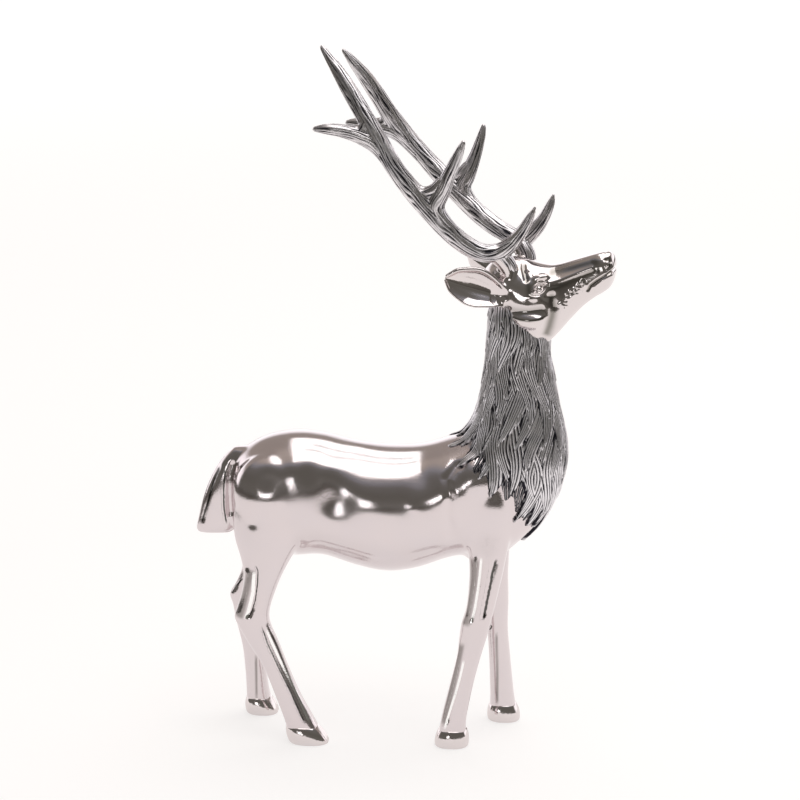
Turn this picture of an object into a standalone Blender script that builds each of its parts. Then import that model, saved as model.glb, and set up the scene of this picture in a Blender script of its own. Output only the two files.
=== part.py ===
# Standing stag cast in one piece: smooth body, mane of carved locks, swept-back antlers.
# The stag faces +X with its right side to -Y, and its four soles rest on the XY plane.

import math
import random

import bmesh
import bpy
import numpy as np
from mathutils import Matrix, Vector

# Driving sizes, in metres and radians
HEIGHT = 0.560
HEAD_TURN = math.radians(11)
HOOF_HEIGHT = 0.0145
HOOF_STEP = 0.0009
EAR_WALL = 0.0034
LOCK_RELIEF = 0.0027
MOUTH_DEPTH = 0.0024
MOUTH_GAP = 0.0009
NOSTRIL_RADIUS = 0.0020
NOSTRIL_STRETCH = (1.2, 1, 0.75)
EYE_RADIUS = 0.0046
FINENESS = 0.0013
TRIANGLE_BUDGET = 9400

# The figure is free form, so its tables count in shares of the height: 560 to the whole
SHARE = HEIGHT / 560

# Trunk, by x: top, bottom, half width, roundness
TRUNK = [
    (-134, 218, 176, 8, 2.0),
    (-128, 230, 164, 22, 2.0),
    (-117, 240, 153, 33, 2.1),
    (-100, 247, 147, 39.5, 2.2),
    (-80, 249.5, 149, 41.5, 2.2),
    (-60, 247.5, 150, 41.5, 2.2),
    (-36, 242, 142.5, 42.5, 2.2),
    (-10, 239, 137.5, 43.5, 2.2),
    (15, 240, 141, 43, 2.2),
    (40, 247, 150, 42, 2.2),
    (62, 253, 154, 40.5, 2.2),
    (84, 250, 157, 37, 2.1),
    (104, 238, 171, 30, 2.0),
    (118, 222, 190, 18, 2.0),
]

# Neck and chest, by z: back, front, half width
NECK = [
    (148, 52, 82, 16),
    (158, 44, 91, 25),
    (170, 42, 103, 31),
    (184, 42, 114, 35.5),
    (200, 42, 124, 38.5),
    (216, 42, 129.5, 40),
    (234, 44, 132, 40),
    (250, 49, 130.5, 38),
    (264, 58, 127.5, 35),
    (280, 63, 124, 31.5),
    (298, 66, 120.5, 28.5),
    (316, 68, 117, 27),
    (334, 69, 117, 26),
    (350, 70, 112, 23),
    (362, 74, 104, 16),
]

# Head before it is turned, by x: top, bottom, half width, roundness
HEAD = [
    (64, 376, 358, 7, 2.0),
    (67, 384, 348, 15, 2.0),
    (74, 390, 337, 21.5, 2.1),
    (85, 392.5, 328, 24.5, 2.2),
    (97, 391.5, 323.5, 25, 2.2),
    (108, 389, 323, 24, 2.2),
    (117, 388, 327, 20.5, 2.2),
    (125, 389.5, 335, 17, 2.2),
    (134, 392.5, 346, 14.3, 2.2),
    (144, 395.8, 357, 12.4, 2.2),
    (153, 398.8, 364.5, 11.8, 2.2),
    (160, 400.5, 369, 11.8, 2.3),
    (165, 400, 373.5, 10.6, 2.3),
    (168, 395, 380, 6.5, 2.2),
]
HEAD_PIVOT = 85

# Where the face is cut: corner and front end of the mouth, and the nostril
MOUTH_CORNER = (147, 11.6, 371.5)
MOUTH_FRONT = (170, 8.4, 387)
NOSTRIL = (163.5, 10.2, 392)

# Each leg, by z: back, front, distance from the middle plane, half width
LEGS = {
    "right_fore": [
        (196, 52, 88, 27, 11),
        (170, 54, 88, 29, 13.5),
        (152, 56.5, 85, 29.5, 13),
        (133, 56.2, 80.8, 29.5, 11.3),
        (116, 54.5, 77, 29.5, 10),
        (103, 50.8, 73.8, 29.5, 9.8),
        (90, 49, 70.5, 29.5, 8.8),
        (76, 47.5, 66.5, 29.5, 8.2),
        (54, 42.5, 61, 29.5, 8.2),
        (34, 37.5, 57, 30, 8.6),
        (20, 34.6, 55, 30, 9.6),
        (6, 32.5, 55.5, 30, 10),
    ],
    "left_fore": [
        (196, 52, 92, 27, 11),
        (170, 55, 92, 29, 13.5),
        (152, 58, 87.5, 29.5, 13),
        (133, 61, 86, 29.5, 11.3),
        (116, 63.5, 86, 29.5, 10),
        (103, 65, 86.3, 29.5, 9.8),
        (90, 68, 86, 29.5, 8.8),
        (76, 69.3, 86.2, 29.5, 8.2),
        (54, 70.8, 88.2, 29.5, 8.2),
        (34, 71.6, 90.2, 30, 8.6),
        (20, 72, 91.8, 30, 9.6),
        (6, 71.5, 94, 30, 10),
    ],
    "right_hind": [
        (214, -122, -72, 22, 15),
        (190, -130, -70, 25.5, 17),
        (170, -129.5, -75, 28, 16),
        (152, -124.5, -84.5, 29, 13.5),
        (138, -122, -92, 29.5, 11),
        (124, -124, -97.5, 30, 9.4),
        (113, -127.3, -101, 30, 8.8),
        (105, -129.6, -102, 30, 8.6),
        (97, -126.6, -100.5, 30, 8.2),
        (84, -119.6, -95, 30, 7.6),
        (64, -107.6, -87.6, 30, 7.6),
        (40, -98, -77.6, 30.5, 8.2),
        (20, -90.8, -67, 31, 9.4),
        (8, -87.5, -61, 31, 10),
    ],
    "left_hind": [
        (214, -124, -74, 22, 15),
        (190, -132, -74, 25.5, 17),
        (170, -132, -80, 28, 16),
        (152, -128, -90, 29, 13.5),
        (138, -129, -99, 29.5, 11),
        (124, -131.5, -107, 30, 9.4),
        (112, -136.5, -112, 30.5, 8.8),
        (103, -141.2, -114.5, 31, 8.6),
        (94, -139, -115.5, 31, 8.2),
        (80, -136.5, -116.5, 31, 7.6),
        (58, -131.6, -114.6, 31, 7.6),
        (36, -129.6, -112.4, 31.5, 8.2),
        (20, -129, -110.6, 32, 9.4),
        (8, -128.8, -108, 32, 10),
    ],
}

# Each sole: heel, toe, half width
SOLES = {
    "right_fore": (29.5, 57.5, 12),
    "left_fore": (69.8, 97.2, 12),
    "right_hind": (-87, -54, 12),
    "left_hind": (-129.6, -102, 12),
}

# Tail, by z: back, front, half width
TAIL = [
    (236, -132, -116, 6),
    (224, -143, -122, 8),
    (208, -152, -126, 9.5),
    (192, -158, -128, 9.5),
    (177, -162, -130, 8.5),
    (168, -164, -132, 7),
    (164.5, -162.5, -136, 4.5),
]

# Antler stems before the head is turned: x, distance from the middle plane, z, radius
ANTLERS = {
    -1: [
        [(91, 14, 370, 7.2), (88, 16, 385, 6.6), (82, 19, 394, 7.4), (66, 26.5, 400.5, 7.4),
         (47, 33, 414.5, 7.6), (26, 38, 438, 8.0), (6, 40, 462, 7.2), (-12, 39, 490, 7.2),
         (-34, 34, 523, 6.2), (-48, 30, 542, 4.2), (-58.5, 27, 556, 1.2)],
        [(78, 20, 397, 6.6), (91, 20, 406, 5.8), (99, 21, 417, 4.8), (105.5, 22, 428, 3.4),
         (110, 23, 438, 1.1)],
        [(28, 37, 431, 7.2), (41, 39, 449, 6.4), (50, 43, 468, 4.6), (55, 44.5, 479, 3.2),
         (59.5, 46, 489.5, 1.1)],
        [(-8, 39.5, 480, 6.6), (-23, 42, 489, 5.6), (-36, 45, 493, 4.6), (-48, 47, 493.8, 3.4),
         (-60, 49, 493, 1.1)],
    ],
    1: [
        [(98, 13, 368, 7.4), (97, 15, 382, 6.8), (91, 19, 394.5, 7.4), (74, 26, 406.5, 7.4),
         (52, 33, 419, 7.6), (28, 38, 440, 8.0), (4, 40, 463.5, 7.2), (-18, 39, 489, 7.2),
         (-37, 34, 519, 6.2), (-48, 30, 534, 4.2), (-57.5, 27, 546, 1.2)],
        [(87, 20, 399, 6.6), (100, 21, 409, 5.8), (107.5, 22, 421, 4.8), (112, 22.5, 431, 3.4),
         (114.5, 23, 440, 1.1)],
        [(31, 36, 434, 7.2), (42, 39, 448, 6.4), (47.5, 42.5, 464, 4.6), (51, 44.5, 477, 3.2),
         (53.5, 46, 488.5, 1.1)],
        [(-10, 39.5, 477, 6.6), (-26, 42, 482.5, 5.6), (-38, 45, 484, 4.6), (-50, 47, 484.5, 3.4),
         (-61, 49, 484, 1.1)],
    ],
}

# Face before the head is turned: x, distance from the middle plane, z, three radii and a lean
EYE = (112.8, 18.6, 372.6, EYE_RADIUS / SHARE, 3.4, 3.2, -30)
FACE_LUMPS = [
    (111, 15.6, 380.6, 11, 4.4, 3.6, -12),
    (103, 16, 340, 16, 11.2, 13, 14),
    (105, 19, 365.5, 10, 5.6, 5, -4),
    (87, 19, 362, 7, 5.5, 6, 0),
    (163, 6.2, 391, 4.6, 5.4, 6.2, 0),
]

# Ear before the head is turned: root, tips, where it opens, then rise, half width and cup along it
EAR_ROOT = (89, 22, 362)
EAR_TIPS = {-1: (43.5, 39, 380.6), 1: (42, 39, 385.6)}
EAR_OPENS = (0.12, 1, 0.08)
EAR_SHAPE = [(0, 6, 2), (1.5, 8.5, 4), (2, 11.5, 6.4), (2, 14, 7.8), (2, 14.6, 8), (1.6, 12.6, 6.6),
             (1.2, 9.4, 4.4), (0.8, 4.6, 2)]

# Muscles laid on the trunk: x, distance from the middle plane, z, then three radii and a lean
MUSCLES = [
    (-99, 24, 200, 31, 18.5, 40, -12),
    (63, 26, 203, 22, 17, 31, 14),
    (72, 27, 172, 17, 13, 22, 0),
]

# Creases worked into both flanks: depth, width, then x and z along each
CREASES = [
    (2.2, 3.6, [(56, 236), (46, 232), (39, 223), (42, 210), (40, 195), (43, 182), (40, 170)]),
    (2.0, 3.0, [(-131, 228), (-134.5, 214), (-135, 196), (-134.5, 178)]),
    (1.2, 4.6, [(-78, 163), (-61, 165), (-37, 159.6), (-17, 153.4), (2, 157), (26, 164), (42, 167)]),
]

# Swellings (above 0) and hollows on both flanks: x, z, radius, height
SWELLINGS = [
    (-80, 230, 14, 2.2),
    (-101, 221, 9, -1.3),
    (-47, 203, 14, -2.7),
    (-20, 200, 17, 1.3),
    (50, 214, 17, 2.4),
    (20, 222, 11, -1.7),
]

# How far the skin is smoothed: by height, and not where the mane is carved
SOFT_FROM = (30, 120)
SOFT_LEG = 0.25
SOFT_ROUNDS = 22
EVEN_ROUNDS = 2
CARVED_FROM = 262
CHEST_CARVED = (58, 165)

# Locks of the mane: how many, how long and wide, and where the mane ends
LOCK_ROWS = 8
LOCK_COLUMNS = 12
LOCK_LENGTH = 64
LOCK_HALF_WIDTH = 9.2
LOCK_TAPER = 1.75
LOCK_WAVE = 0.18
MANE_TOP = 350
MANE_FRONT_END = 170
MANE_RISE = 75
MANE_SEED = 11


def sizes_in_metres(values):
    return tuple(value * SHARE for value in values)


def smooth_rows(rows, steps):
    """Rows of a table with Catmull-Rom rows between them."""
    dense = []
    for i in range(len(rows) - 1):
        before = rows[max(i - 1, 0)]
        start = rows[i]
        end = rows[i + 1]
        after = rows[min(i + 2, len(rows) - 1)]
        for k in range(steps):
            t = k / steps
            row = []
            for p, q, r, s in zip(before, start, end, after):
                bend = 2 * p - 5 * q + 4 * r - s
                turn = 3 * q - p - 3 * r + s
                row.append(0.5 * (2 * q + (r - p) * t + bend * t * t + turn * t ** 3))
            dense.append(tuple(row))
    dense.append(tuple(rows[-1]))
    return dense


def row_at(rows, key):
    """The row of a dense table whose first value is nearest to key."""
    return min(rows, key=lambda row: abs(row[0] - key))


def oval(half_a, half_b, roundness, count):
    """Points of a superellipse around its own centre."""
    points = []
    for i in range(count):
        angle = 2 * math.pi * i / count
        c = math.cos(angle)
        s = math.sin(angle)
        a = half_a * math.copysign(abs(c) ** (2 / roundness), c)
        b = half_b * math.copysign(abs(s) ** (2 / roundness), s)
        points.append((a, b))
    return points


def loft(solid, rings):
    """Adds a closed skin through the rings, with a cap at each end."""
    loops = [[solid.verts.new(point) for point in ring] for ring in rings]
    for low, high in zip(loops, loops[1:]):
        for i in range(len(low)):
            j = (i + 1) % len(low)
            solid.faces.new((low[i], low[j], high[j], high[i]))
    solid.faces.new(list(reversed(loops[0])))
    solid.faces.new(loops[-1])


def turned(point):
    """A point of the head, in shares, moved to where the turned head has it, in metres."""
    pivot = Vector((HEAD_PIVOT, 0, 0))
    turn = Matrix.Rotation(-HEAD_TURN, 3, "Z")
    return (turn @ (Vector(point) - pivot) + pivot) * SHARE


def add_trunk(solid):
    rings = []
    for x, top, bottom, half, roundness in smooth_rows(TRUNK, 5):
        centre = (top + bottom) / 2
        outline = oval(half, (top - bottom) / 2, roundness, 48)
        rings.append([Vector(sizes_in_metres((x, y, centre + z))) for y, z in outline])
    loft(solid, rings)


def add_muscles(solid):
    for x, out, z, deep, wide, tall, lean in MUSCLES:
        for side in (-1, 1):
            place = Matrix.Translation(Vector(sizes_in_metres((x, side * out, z))))
            place = place @ Matrix.Rotation(math.radians(lean), 4, "Y")
            place = place @ Matrix.Diagonal((*sizes_in_metres((deep, wide, tall)), 1))
            bmesh.ops.create_uvsphere(solid, u_segments=28, v_segments=20, radius=1, matrix=place)


def mane_end(angle):
    """Height where the mane stops, by the angle from the front of the chest."""
    return MANE_FRONT_END + MANE_RISE * ((1 - math.cos(angle)) / 2) ** 1.3


def make_locks():
    """Centre lines of the locks, each a list of angle and height from root to tip."""
    spread = random.Random(MANE_SEED)
    locks = []
    for row in range(LOCK_ROWS):
        for column in range(LOCK_COLUMNS):
            share = (column + 0.5 * (row % 2) + spread.uniform(-0.16, 0.16)) / LOCK_COLUMNS
            angle = (share * 2 - 1) * math.pi
            low = mane_end(angle)
            step = (MANE_TOP - low) / LOCK_ROWS
            tip = low + step * (LOCK_ROWS - 1 - row) + spread.uniform(-0.25, 0.25) * step
            phase = spread.uniform(-0.7, 0.7) + 2.1 * row
            length = LOCK_LENGTH * spread.uniform(0.85, 1.15)
            line = []
            for k in range(13):
                t = k / 12
                wave = LOCK_WAVE * math.sin(phase + 3.6 * t) - LOCK_WAVE * math.sin(phase + 3.6)
                sweep = -0.10 * math.sin(angle) * (1 - t)
                line.append((angle + wave + sweep, tip + length * (1 - t)))
            locks.append(line)
    return locks


def lock_relief(locks, angles, z, girth):
    """Relief of the mane around one level: 1 on the crest of a tip, -1 where no lock lies."""
    relief = np.full(len(angles), -1.0)
    for line in locks:
        root_z = line[0][1]
        tip_z = line[-1][1]
        if not tip_z < z < root_z:
            continue
        t = (root_z - z) / (root_z - tip_z)
        middle = np.interp(t, np.linspace(0, 1, len(line)), [angle for angle, _ in line])
        gap = (angles - middle + math.pi) % (2 * math.pi) - math.pi
        half = LOCK_HALF_WIDTH * (0.45 + 0.9 * t) if t < 0.6 else LOCK_HALF_WIDTH
        half *= min(1, (LOCK_TAPER * (1 - t)) ** 0.8)
        across = np.abs(gap * girth) / half
        dome = np.sqrt(np.clip(1 - across ** 2, 0, 1))
        height = 1.1 * t - 0.75 + 0.75 * dome
        relief = np.where(across < 1, np.maximum(relief, height), relief)
    return relief


def add_neck(solid):
    locks = make_locks()
    angles = np.linspace(-math.pi, math.pi, 144, endpoint=False)
    rings = []
    for z, back, front, half in smooth_rows(NECK, 9):
        middle = (back + front) / 2
        depth = (front - back) / 2
        relief = lock_relief(locks, angles, z, (depth + half) / 2)
        ring = []
        for angle, height in zip(angles, relief):
            rise = LOCK_RELIEF / SHARE * (height - 0.4)
            x = middle + (depth + rise) * math.cos(angle)
            y = -(half + rise) * math.sin(angle)
            ring.append(Vector(sizes_in_metres((x, y, z))))
        rings.append(ring)
    loft(solid, rings)


def add_head(solid):
    rings = []
    for x, top, bottom, half, roundness in smooth_rows(HEAD, 5):
        centre = (top + bottom) / 2
        outline = oval(half, (top - bottom) / 2, roundness, 40)
        rings.append([turned((x, y, centre + z)) for y, z in outline])
    loft(solid, rings)


def add_face(solid):
    """Eyes in their brows, cheeks, roots of the ears, and the soft pads of the nose."""
    for x, out, z, deep, wide, tall, lean in [EYE, *FACE_LUMPS]:
        for side in (-1, 1):
            spot = turned((x, side * out, z))
            place = Matrix.Translation(spot)
            place = place @ Matrix.Rotation(-HEAD_TURN, 4, "Z")
            place = place @ Matrix.Rotation(math.radians(lean), 4, "Y")
            place = place @ Matrix.Diagonal((*sizes_in_metres((deep, wide, tall)), 1))
            bmesh.ops.create_uvsphere(solid, u_segments=24, v_segments=16, radius=1, matrix=place)


def add_ear(solid, side):
    """A leaf bent to a cup that opens outward, with a wall of one thickness."""
    root = Vector(EAR_ROOT)
    tip = Vector(EAR_TIPS[side])
    axis = (tip - root).normalized()
    outward = Vector(EAR_OPENS)
    outward = (outward - axis * outward.dot(axis)).normalized()
    across = axis.cross(outward)
    wall = EAR_WALL / SHARE
    rings = []
    rows = smooth_rows(EAR_SHAPE, 4)
    for k, (rise, half, cup) in enumerate(rows):
        middle = root + (tip - root) * (k / (len(rows) - 1)) + Vector((0, 0, rise))
        inner = []
        outer = []
        for i in range(11):
            t = i / 5 - 1
            edge = middle + across * (half * t) + outward * (cup * (t * t - 0.6))
            inner.append(edge + outward * (wall / 2))
            outer.append(edge - outward * (wall / 2))
        ring = inner + list(reversed(outer))
        rings.append([turned((p.x, side * p.y, p.z)) for p in ring])
    loft(solid, rings)


def add_leg(solid, name):
    side = -1 if name.startswith("right") else 1
    rows = smooth_rows(LEGS[name], 5)
    rings = []
    for z, back, front, out, half in rows:
        outline = oval((front - back) / 2, half, 2.0, 32)
        middle = (back + front) / 2
        rings.append([Vector(sizes_in_metres((middle + x, side * out + y, z))) for x, y in outline])
    loft(solid, rings)
    add_hoof(solid, name, side, row_at(rows, HOOF_HEIGHT / SHARE))


def add_hoof(solid, name, side, ankle):
    """A hoof that flares from a small ledge under the ankle to its sole."""
    heel, toe, sole_half = SOLES[name]
    top = HOOF_HEIGHT / SHARE
    step = HOOF_STEP / SHARE
    out = ankle[3]
    rings = []
    for t in (0, 0.08, 0.35, 0.7, 1, 1.25):
        swell = 0 if t == 0 else 1
        back = (ankle[1] - step * swell) * (1 - t) + heel * t
        front = (ankle[2] + step * swell) * (1 - t) + toe * t
        half = (ankle[4] + step * swell) * (1 - t) + sole_half * t
        outline = oval((front - back) / 2, half, 2.4, 32)
        middle = (back + front) / 2
        z = top * (1 - t)
        rings.append([Vector(sizes_in_metres((middle + x, side * out + y, z))) for x, y in outline])
    loft(solid, rings)


def add_tail(solid):
    rings = []
    for z, back, front, half in smooth_rows(TAIL, 4):
        outline = oval((front - back) / 2, half, 1.8, 24)
        middle = (back + front) / 2
        rings.append([Vector(sizes_in_metres((middle + x, y, z))) for x, y in outline])
    loft(solid, rings)


def antler_stem(points, side):
    """One beam or tine as a curve whose bevel narrows to a point."""
    curve = bpy.data.curves.new("antler_stem", "CURVE")
    curve.dimensions = "3D"
    curve.bevel_depth = 1
    curve.bevel_resolution = 4
    curve.resolution_u = 6
    curve.use_fill_caps = True
    spline = curve.splines.new("BEZIER")
    spline.bezier_points.add(len(points) - 1)
    for knot, (x, out, z, radius) in zip(spline.bezier_points, points):
        knot.co = turned((x, side * out, z))
        knot.radius = radius * SHARE
        knot.handle_left_type = "AUTO"
        knot.handle_right_type = "AUTO"
    return bpy.data.objects.new("antler_stem", curve)


def add_antlers(solid):
    for side, stems in ANTLERS.items():
        for points in stems:
            stem = antler_stem(points, side)
            bpy.context.scene.collection.objects.link(stem)
            bpy.context.view_layer.update()
            evaluated = stem.evaluated_get(bpy.context.evaluated_depsgraph_get())
            mesh = bpy.data.meshes.new_from_object(evaluated)
            solid.from_mesh(mesh)
            bpy.data.objects.remove(stem)


def make_material():
    metal = bpy.data.materials.new("polished_aluminium")
    metal.use_nodes = True
    shader = metal.node_tree.nodes["Principled BSDF"]
    shader.inputs["Base Color"].default_value = (0.80, 0.77, 0.75, 1)
    shader.inputs["Metallic"].default_value = 1.0
    shader.inputs["Roughness"].default_value = 0.22
    return metal


def new_object(name, collection):
    thing = bpy.data.objects.new(name, bpy.data.meshes.new(name))
    collection.objects.link(thing)
    return thing


def evaluated_mesh(thing):
    bpy.context.view_layer.update()
    depsgraph = bpy.context.evaluated_depsgraph_get()
    return bpy.data.meshes.new_from_object(thing.evaluated_get(depsgraph))


def softness(point):
    """How far a place on the skin is smoothed: most on the body, none on carving."""
    x = point.x / SHARE
    z = point.z / SHARE
    if z > CARVED_FROM or x > CHEST_CARVED[0] and z > CHEST_CARVED[1]:
        return 0.0
    if z < SOFT_FROM[0]:
        return 0.0
    if z < SOFT_FROM[1]:
        return SOFT_LEG
    return 1.0


def path_distance(spots, path):
    """Distance of each flat spot from a line through the points of a path."""
    nearest = np.full(len(spots), np.inf)
    for start, end in zip(path, path[1:]):
        start = np.array(start)
        step = np.array(end) - start
        t = np.clip((spots - start) @ step / (step @ step), 0, 1)
        nearest = np.minimum(nearest, np.linalg.norm(spots - start - t[:, None] * step, axis=1))
    return nearest


def work_flanks(mesh):
    """Presses the creases and swellings into the outer side of each flank."""
    points = np.array([vertex.co for vertex in mesh.vertices]) / SHARE
    normals = np.array([vertex.normal for vertex in mesh.vertices])
    outward = np.abs(normals[:, 1]) * (points[:, 1] * normals[:, 1] > 0)
    spots = points[:, (0, 2)]
    rise = np.zeros(len(points))
    for depth, width, path in CREASES:
        rise -= depth * np.exp(-(path_distance(spots, path) / width) ** 2)
    for x, z, radius, height in SWELLINGS:
        gap = np.linalg.norm(spots - np.array((x, z)), axis=1)
        rise += height * np.exp(-(gap / radius) ** 2)
    points += normals * (rise * outward)[:, None]
    for vertex, point in zip(mesh.vertices, points * SHARE):
        vertex.co = point


def new_cutter(name, collection):
    cutter = new_object(name, collection)
    cutter.hide_render = True
    cutter.display_type = "WIRE"
    return cutter


def cut_block(name, collection, size, place):
    """A closed block of a size, centred on its place."""
    block = new_cutter(name, collection)
    shape = bmesh.new()
    bmesh.ops.create_cube(shape, size=1, matrix=place @ Matrix.Diagonal((*size, 1)))
    shape.to_mesh(block.data)
    return block


def cut_mouth(side, collection):
    """A thin slab that scores the line of the mouth into one side of the muzzle."""
    corner = turned((MOUTH_CORNER[0], side * MOUTH_CORNER[1], MOUTH_CORNER[2]))
    lip = turned((MOUTH_FRONT[0], side * MOUTH_FRONT[1], MOUTH_FRONT[2]))
    line = lip - corner
    out = Matrix.Rotation(-HEAD_TURN, 3, "Z") @ Vector((0, side, 0))
    across = (out - line.normalized() * out.dot(line.normalized())).normalized()
    frame = Matrix((line.normalized(), across, line.cross(across).normalized())).transposed()
    width = MOUTH_DEPTH * 6
    centre = (corner + lip) / 2 + across * (width / 2 - MOUTH_DEPTH)
    place = Matrix.Translation(centre) @ frame.to_4x4()
    return cut_block("cut_mouth", collection, (line.length, width, MOUTH_GAP), place)


def cut_nostril(side, collection):
    ball = new_cutter("cut_nostril", collection)
    shape = bmesh.new()
    spot = turned((NOSTRIL[0], side * NOSTRIL[1], NOSTRIL[2]))
    place = Matrix.Translation(spot) @ Matrix.Diagonal((*NOSTRIL_STRETCH, 1))
    bmesh.ops.create_icosphere(shape, subdivisions=2, radius=NOSTRIL_RADIUS, matrix=place)
    shape.to_mesh(ball.data)
    return ball


def cast_stag(collection, cutters):
    """All the forms fused to one skin, smoothed, thinned and cut flat under the hooves."""
    rough = new_object("stag_rough", collection)
    solid = bmesh.new()
    add_trunk(solid)
    add_muscles(solid)
    add_neck(solid)
    add_head(solid)
    add_face(solid)
    add_tail(solid)
    for name in LEGS:
        add_leg(solid, name)
    for side in (-1, 1):
        add_ear(solid, side)
    add_antlers(solid)
    bmesh.ops.recalc_face_normals(solid, faces=solid.faces)
    solid.to_mesh(rough.data)
    fuse = rough.modifiers.new("fuse", "REMESH")
    fuse.mode = "VOXEL"
    fuse.voxel_size = FINENESS

    stag = bpy.data.objects.new("stag", evaluated_mesh(rough))
    collection.objects.link(stag)
    bpy.data.objects.remove(rough)
    work_flanks(stag.data)
    soft = stag.vertex_groups.new(name="soft")
    for vertex in stag.data.vertices:
        amount = softness(vertex.co)
        if amount > 0:
            soft.add([vertex.index], amount, "REPLACE")
    blend = stag.modifiers.new("blend", "SMOOTH")
    blend.factor = 0.5
    blend.iterations = int(SOFT_ROUNDS)
    blend.vertex_group = "soft"
    even = stag.modifiers.new("even", "SMOOTH")
    even.factor = 0.5
    even.iterations = int(EVEN_ROUNDS)
    thin = stag.modifiers.new("thin", "DECIMATE")
    thin.ratio = TRIANGLE_BUDGET / (2 * len(stag.data.polygons))

    ground = Vector((HEIGHT, HEIGHT, HEIGHT / 8))
    below = Matrix.Translation((0, 0, -ground.z / 2))
    cuts = [cut_block("cut_soles", cutters, ground, below)]
    for side in (-1, 1):
        cuts.append(cut_mouth(side, cutters))
        cuts.append(cut_nostril(side, cutters))
    for cutter in cuts:
        cut = stag.modifiers.new(cutter.name, "BOOLEAN")
        cut.operation = "DIFFERENCE"
        cut.object = cutter
    return stag


def centre_on_floor(stag):
    """Moves the stag and its cutters so that the middle of its outline lies over the origin."""
    mesh = evaluated_mesh(stag)
    low = [min(v.co[i] for v in mesh.vertices) for i in (0, 1)]
    high = [max(v.co[i] for v in mesh.vertices) for i in (0, 1)]
    shift = (-(low[0] + high[0]) / 2, -(low[1] + high[1]) / 2, 0)
    bpy.data.meshes.remove(mesh)
    stag.location = shift
    for cut in stag.modifiers:
        if cut.type == "BOOLEAN":
            cut.object.location = shift


def main():
    for thing in list(bpy.data.objects):
        bpy.data.objects.remove(thing)
    parts = bpy.data.collections.new("stag_statue")
    cutters = bpy.data.collections.new("cutters")
    bpy.context.scene.collection.children.link(parts)
    bpy.context.scene.collection.children.link(cutters)
    stag = cast_stag(parts, cutters)
    stag.data.materials.clear()
    stag.data.materials.append(make_material())
    centre_on_floor(stag)


main()
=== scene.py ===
import math
import random

import bmesh
import bpy
import numpy as np
from mathutils import Matrix, Vector
from mathutils.bvhtree import BVHTree


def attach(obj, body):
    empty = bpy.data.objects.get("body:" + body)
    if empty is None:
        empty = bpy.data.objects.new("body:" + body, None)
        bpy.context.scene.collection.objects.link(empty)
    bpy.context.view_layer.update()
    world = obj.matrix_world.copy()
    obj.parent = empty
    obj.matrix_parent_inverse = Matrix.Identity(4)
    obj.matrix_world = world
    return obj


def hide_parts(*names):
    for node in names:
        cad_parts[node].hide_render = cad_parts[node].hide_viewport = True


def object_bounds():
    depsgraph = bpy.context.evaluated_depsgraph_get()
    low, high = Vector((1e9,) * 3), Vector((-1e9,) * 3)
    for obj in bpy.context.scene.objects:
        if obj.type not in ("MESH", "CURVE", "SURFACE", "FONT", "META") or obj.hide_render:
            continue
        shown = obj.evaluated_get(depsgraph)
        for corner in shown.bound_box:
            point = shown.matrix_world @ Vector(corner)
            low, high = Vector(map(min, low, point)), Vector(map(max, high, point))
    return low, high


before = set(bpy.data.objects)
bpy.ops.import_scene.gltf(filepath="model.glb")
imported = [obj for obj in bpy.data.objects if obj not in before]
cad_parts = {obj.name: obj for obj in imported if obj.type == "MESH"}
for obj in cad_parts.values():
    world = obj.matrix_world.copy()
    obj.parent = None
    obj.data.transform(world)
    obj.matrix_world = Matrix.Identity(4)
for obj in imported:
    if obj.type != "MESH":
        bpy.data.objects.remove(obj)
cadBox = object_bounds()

# The stag is modelled in shares of its height, about a millimetre each, and settle() puts it in the frame
tables = {
    "tipHeight": 555.5,      # tip of the taller antler
    "tailX": -163.3,         # rearmost point of the tail
    "outerY": -44.1,         # outermost point on the right side
}
boxLow = Vector(cadBox[0])
boxHigh = Vector(cadBox[1])
share = (boxHigh.z - boxLow.z) / tables["tipHeight"]
tableOrigin = Vector((boxLow.x - tables["tailX"] * share, boxLow.y - tables["outerY"] * share, 0))


# Shared tools

def smoothRows(rows, steps):
    # Catmull-Rom rows between the rows of a table
    rows = np.array(rows, float)
    padded = np.vstack([rows[:1], rows, rows[-1:]])
    dense = []
    for i in range(len(rows) - 1):
        p, q, r, s = padded[i:i + 4]
        for k in range(steps):
            t = k / steps
            bend = 2 * p - 5 * q + 4 * r - s
            turn = 3 * q - p - 3 * r + s
            dense.append(0.5 * (2 * q + (r - p) * t + bend * t * t + turn * t ** 3))
    dense.append(rows[-1])
    return np.array(dense)


def oval(halfA, halfB, roundness, count):
    angle = np.linspace(0, 2 * math.pi, count, endpoint=False)
    c = np.cos(angle)
    s = np.sin(angle)
    a = halfA * np.sign(c) * np.abs(c) ** (2 / roundness)
    b = halfB * np.sign(s) * np.abs(s) ** (2 / roundness)
    return np.stack([a, b], 1)


def loftInto(solid, rings):
    loops = [[solid.verts.new(point) for point in ring] for ring in rings]
    for low, high in zip(loops, loops[1:]):
        for i in range(len(low)):
            j = (i + 1) % len(low)
            solid.faces.new((low[i], low[j], high[j], high[i]))
    solid.faces.new(list(reversed(loops[0])))
    solid.faces.new(loops[-1])


def ballInto(solid, centre, radii, lean=0):
    spot = Matrix.Translation(Vector(centre)) @ Matrix.Rotation(math.radians(lean), 4, "Y")
    spot = spot @ Matrix.Diagonal((*radii, 1))
    bmesh.ops.create_uvsphere(solid, u_segments=36, v_segments=24, radius=1, matrix=spot)


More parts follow.
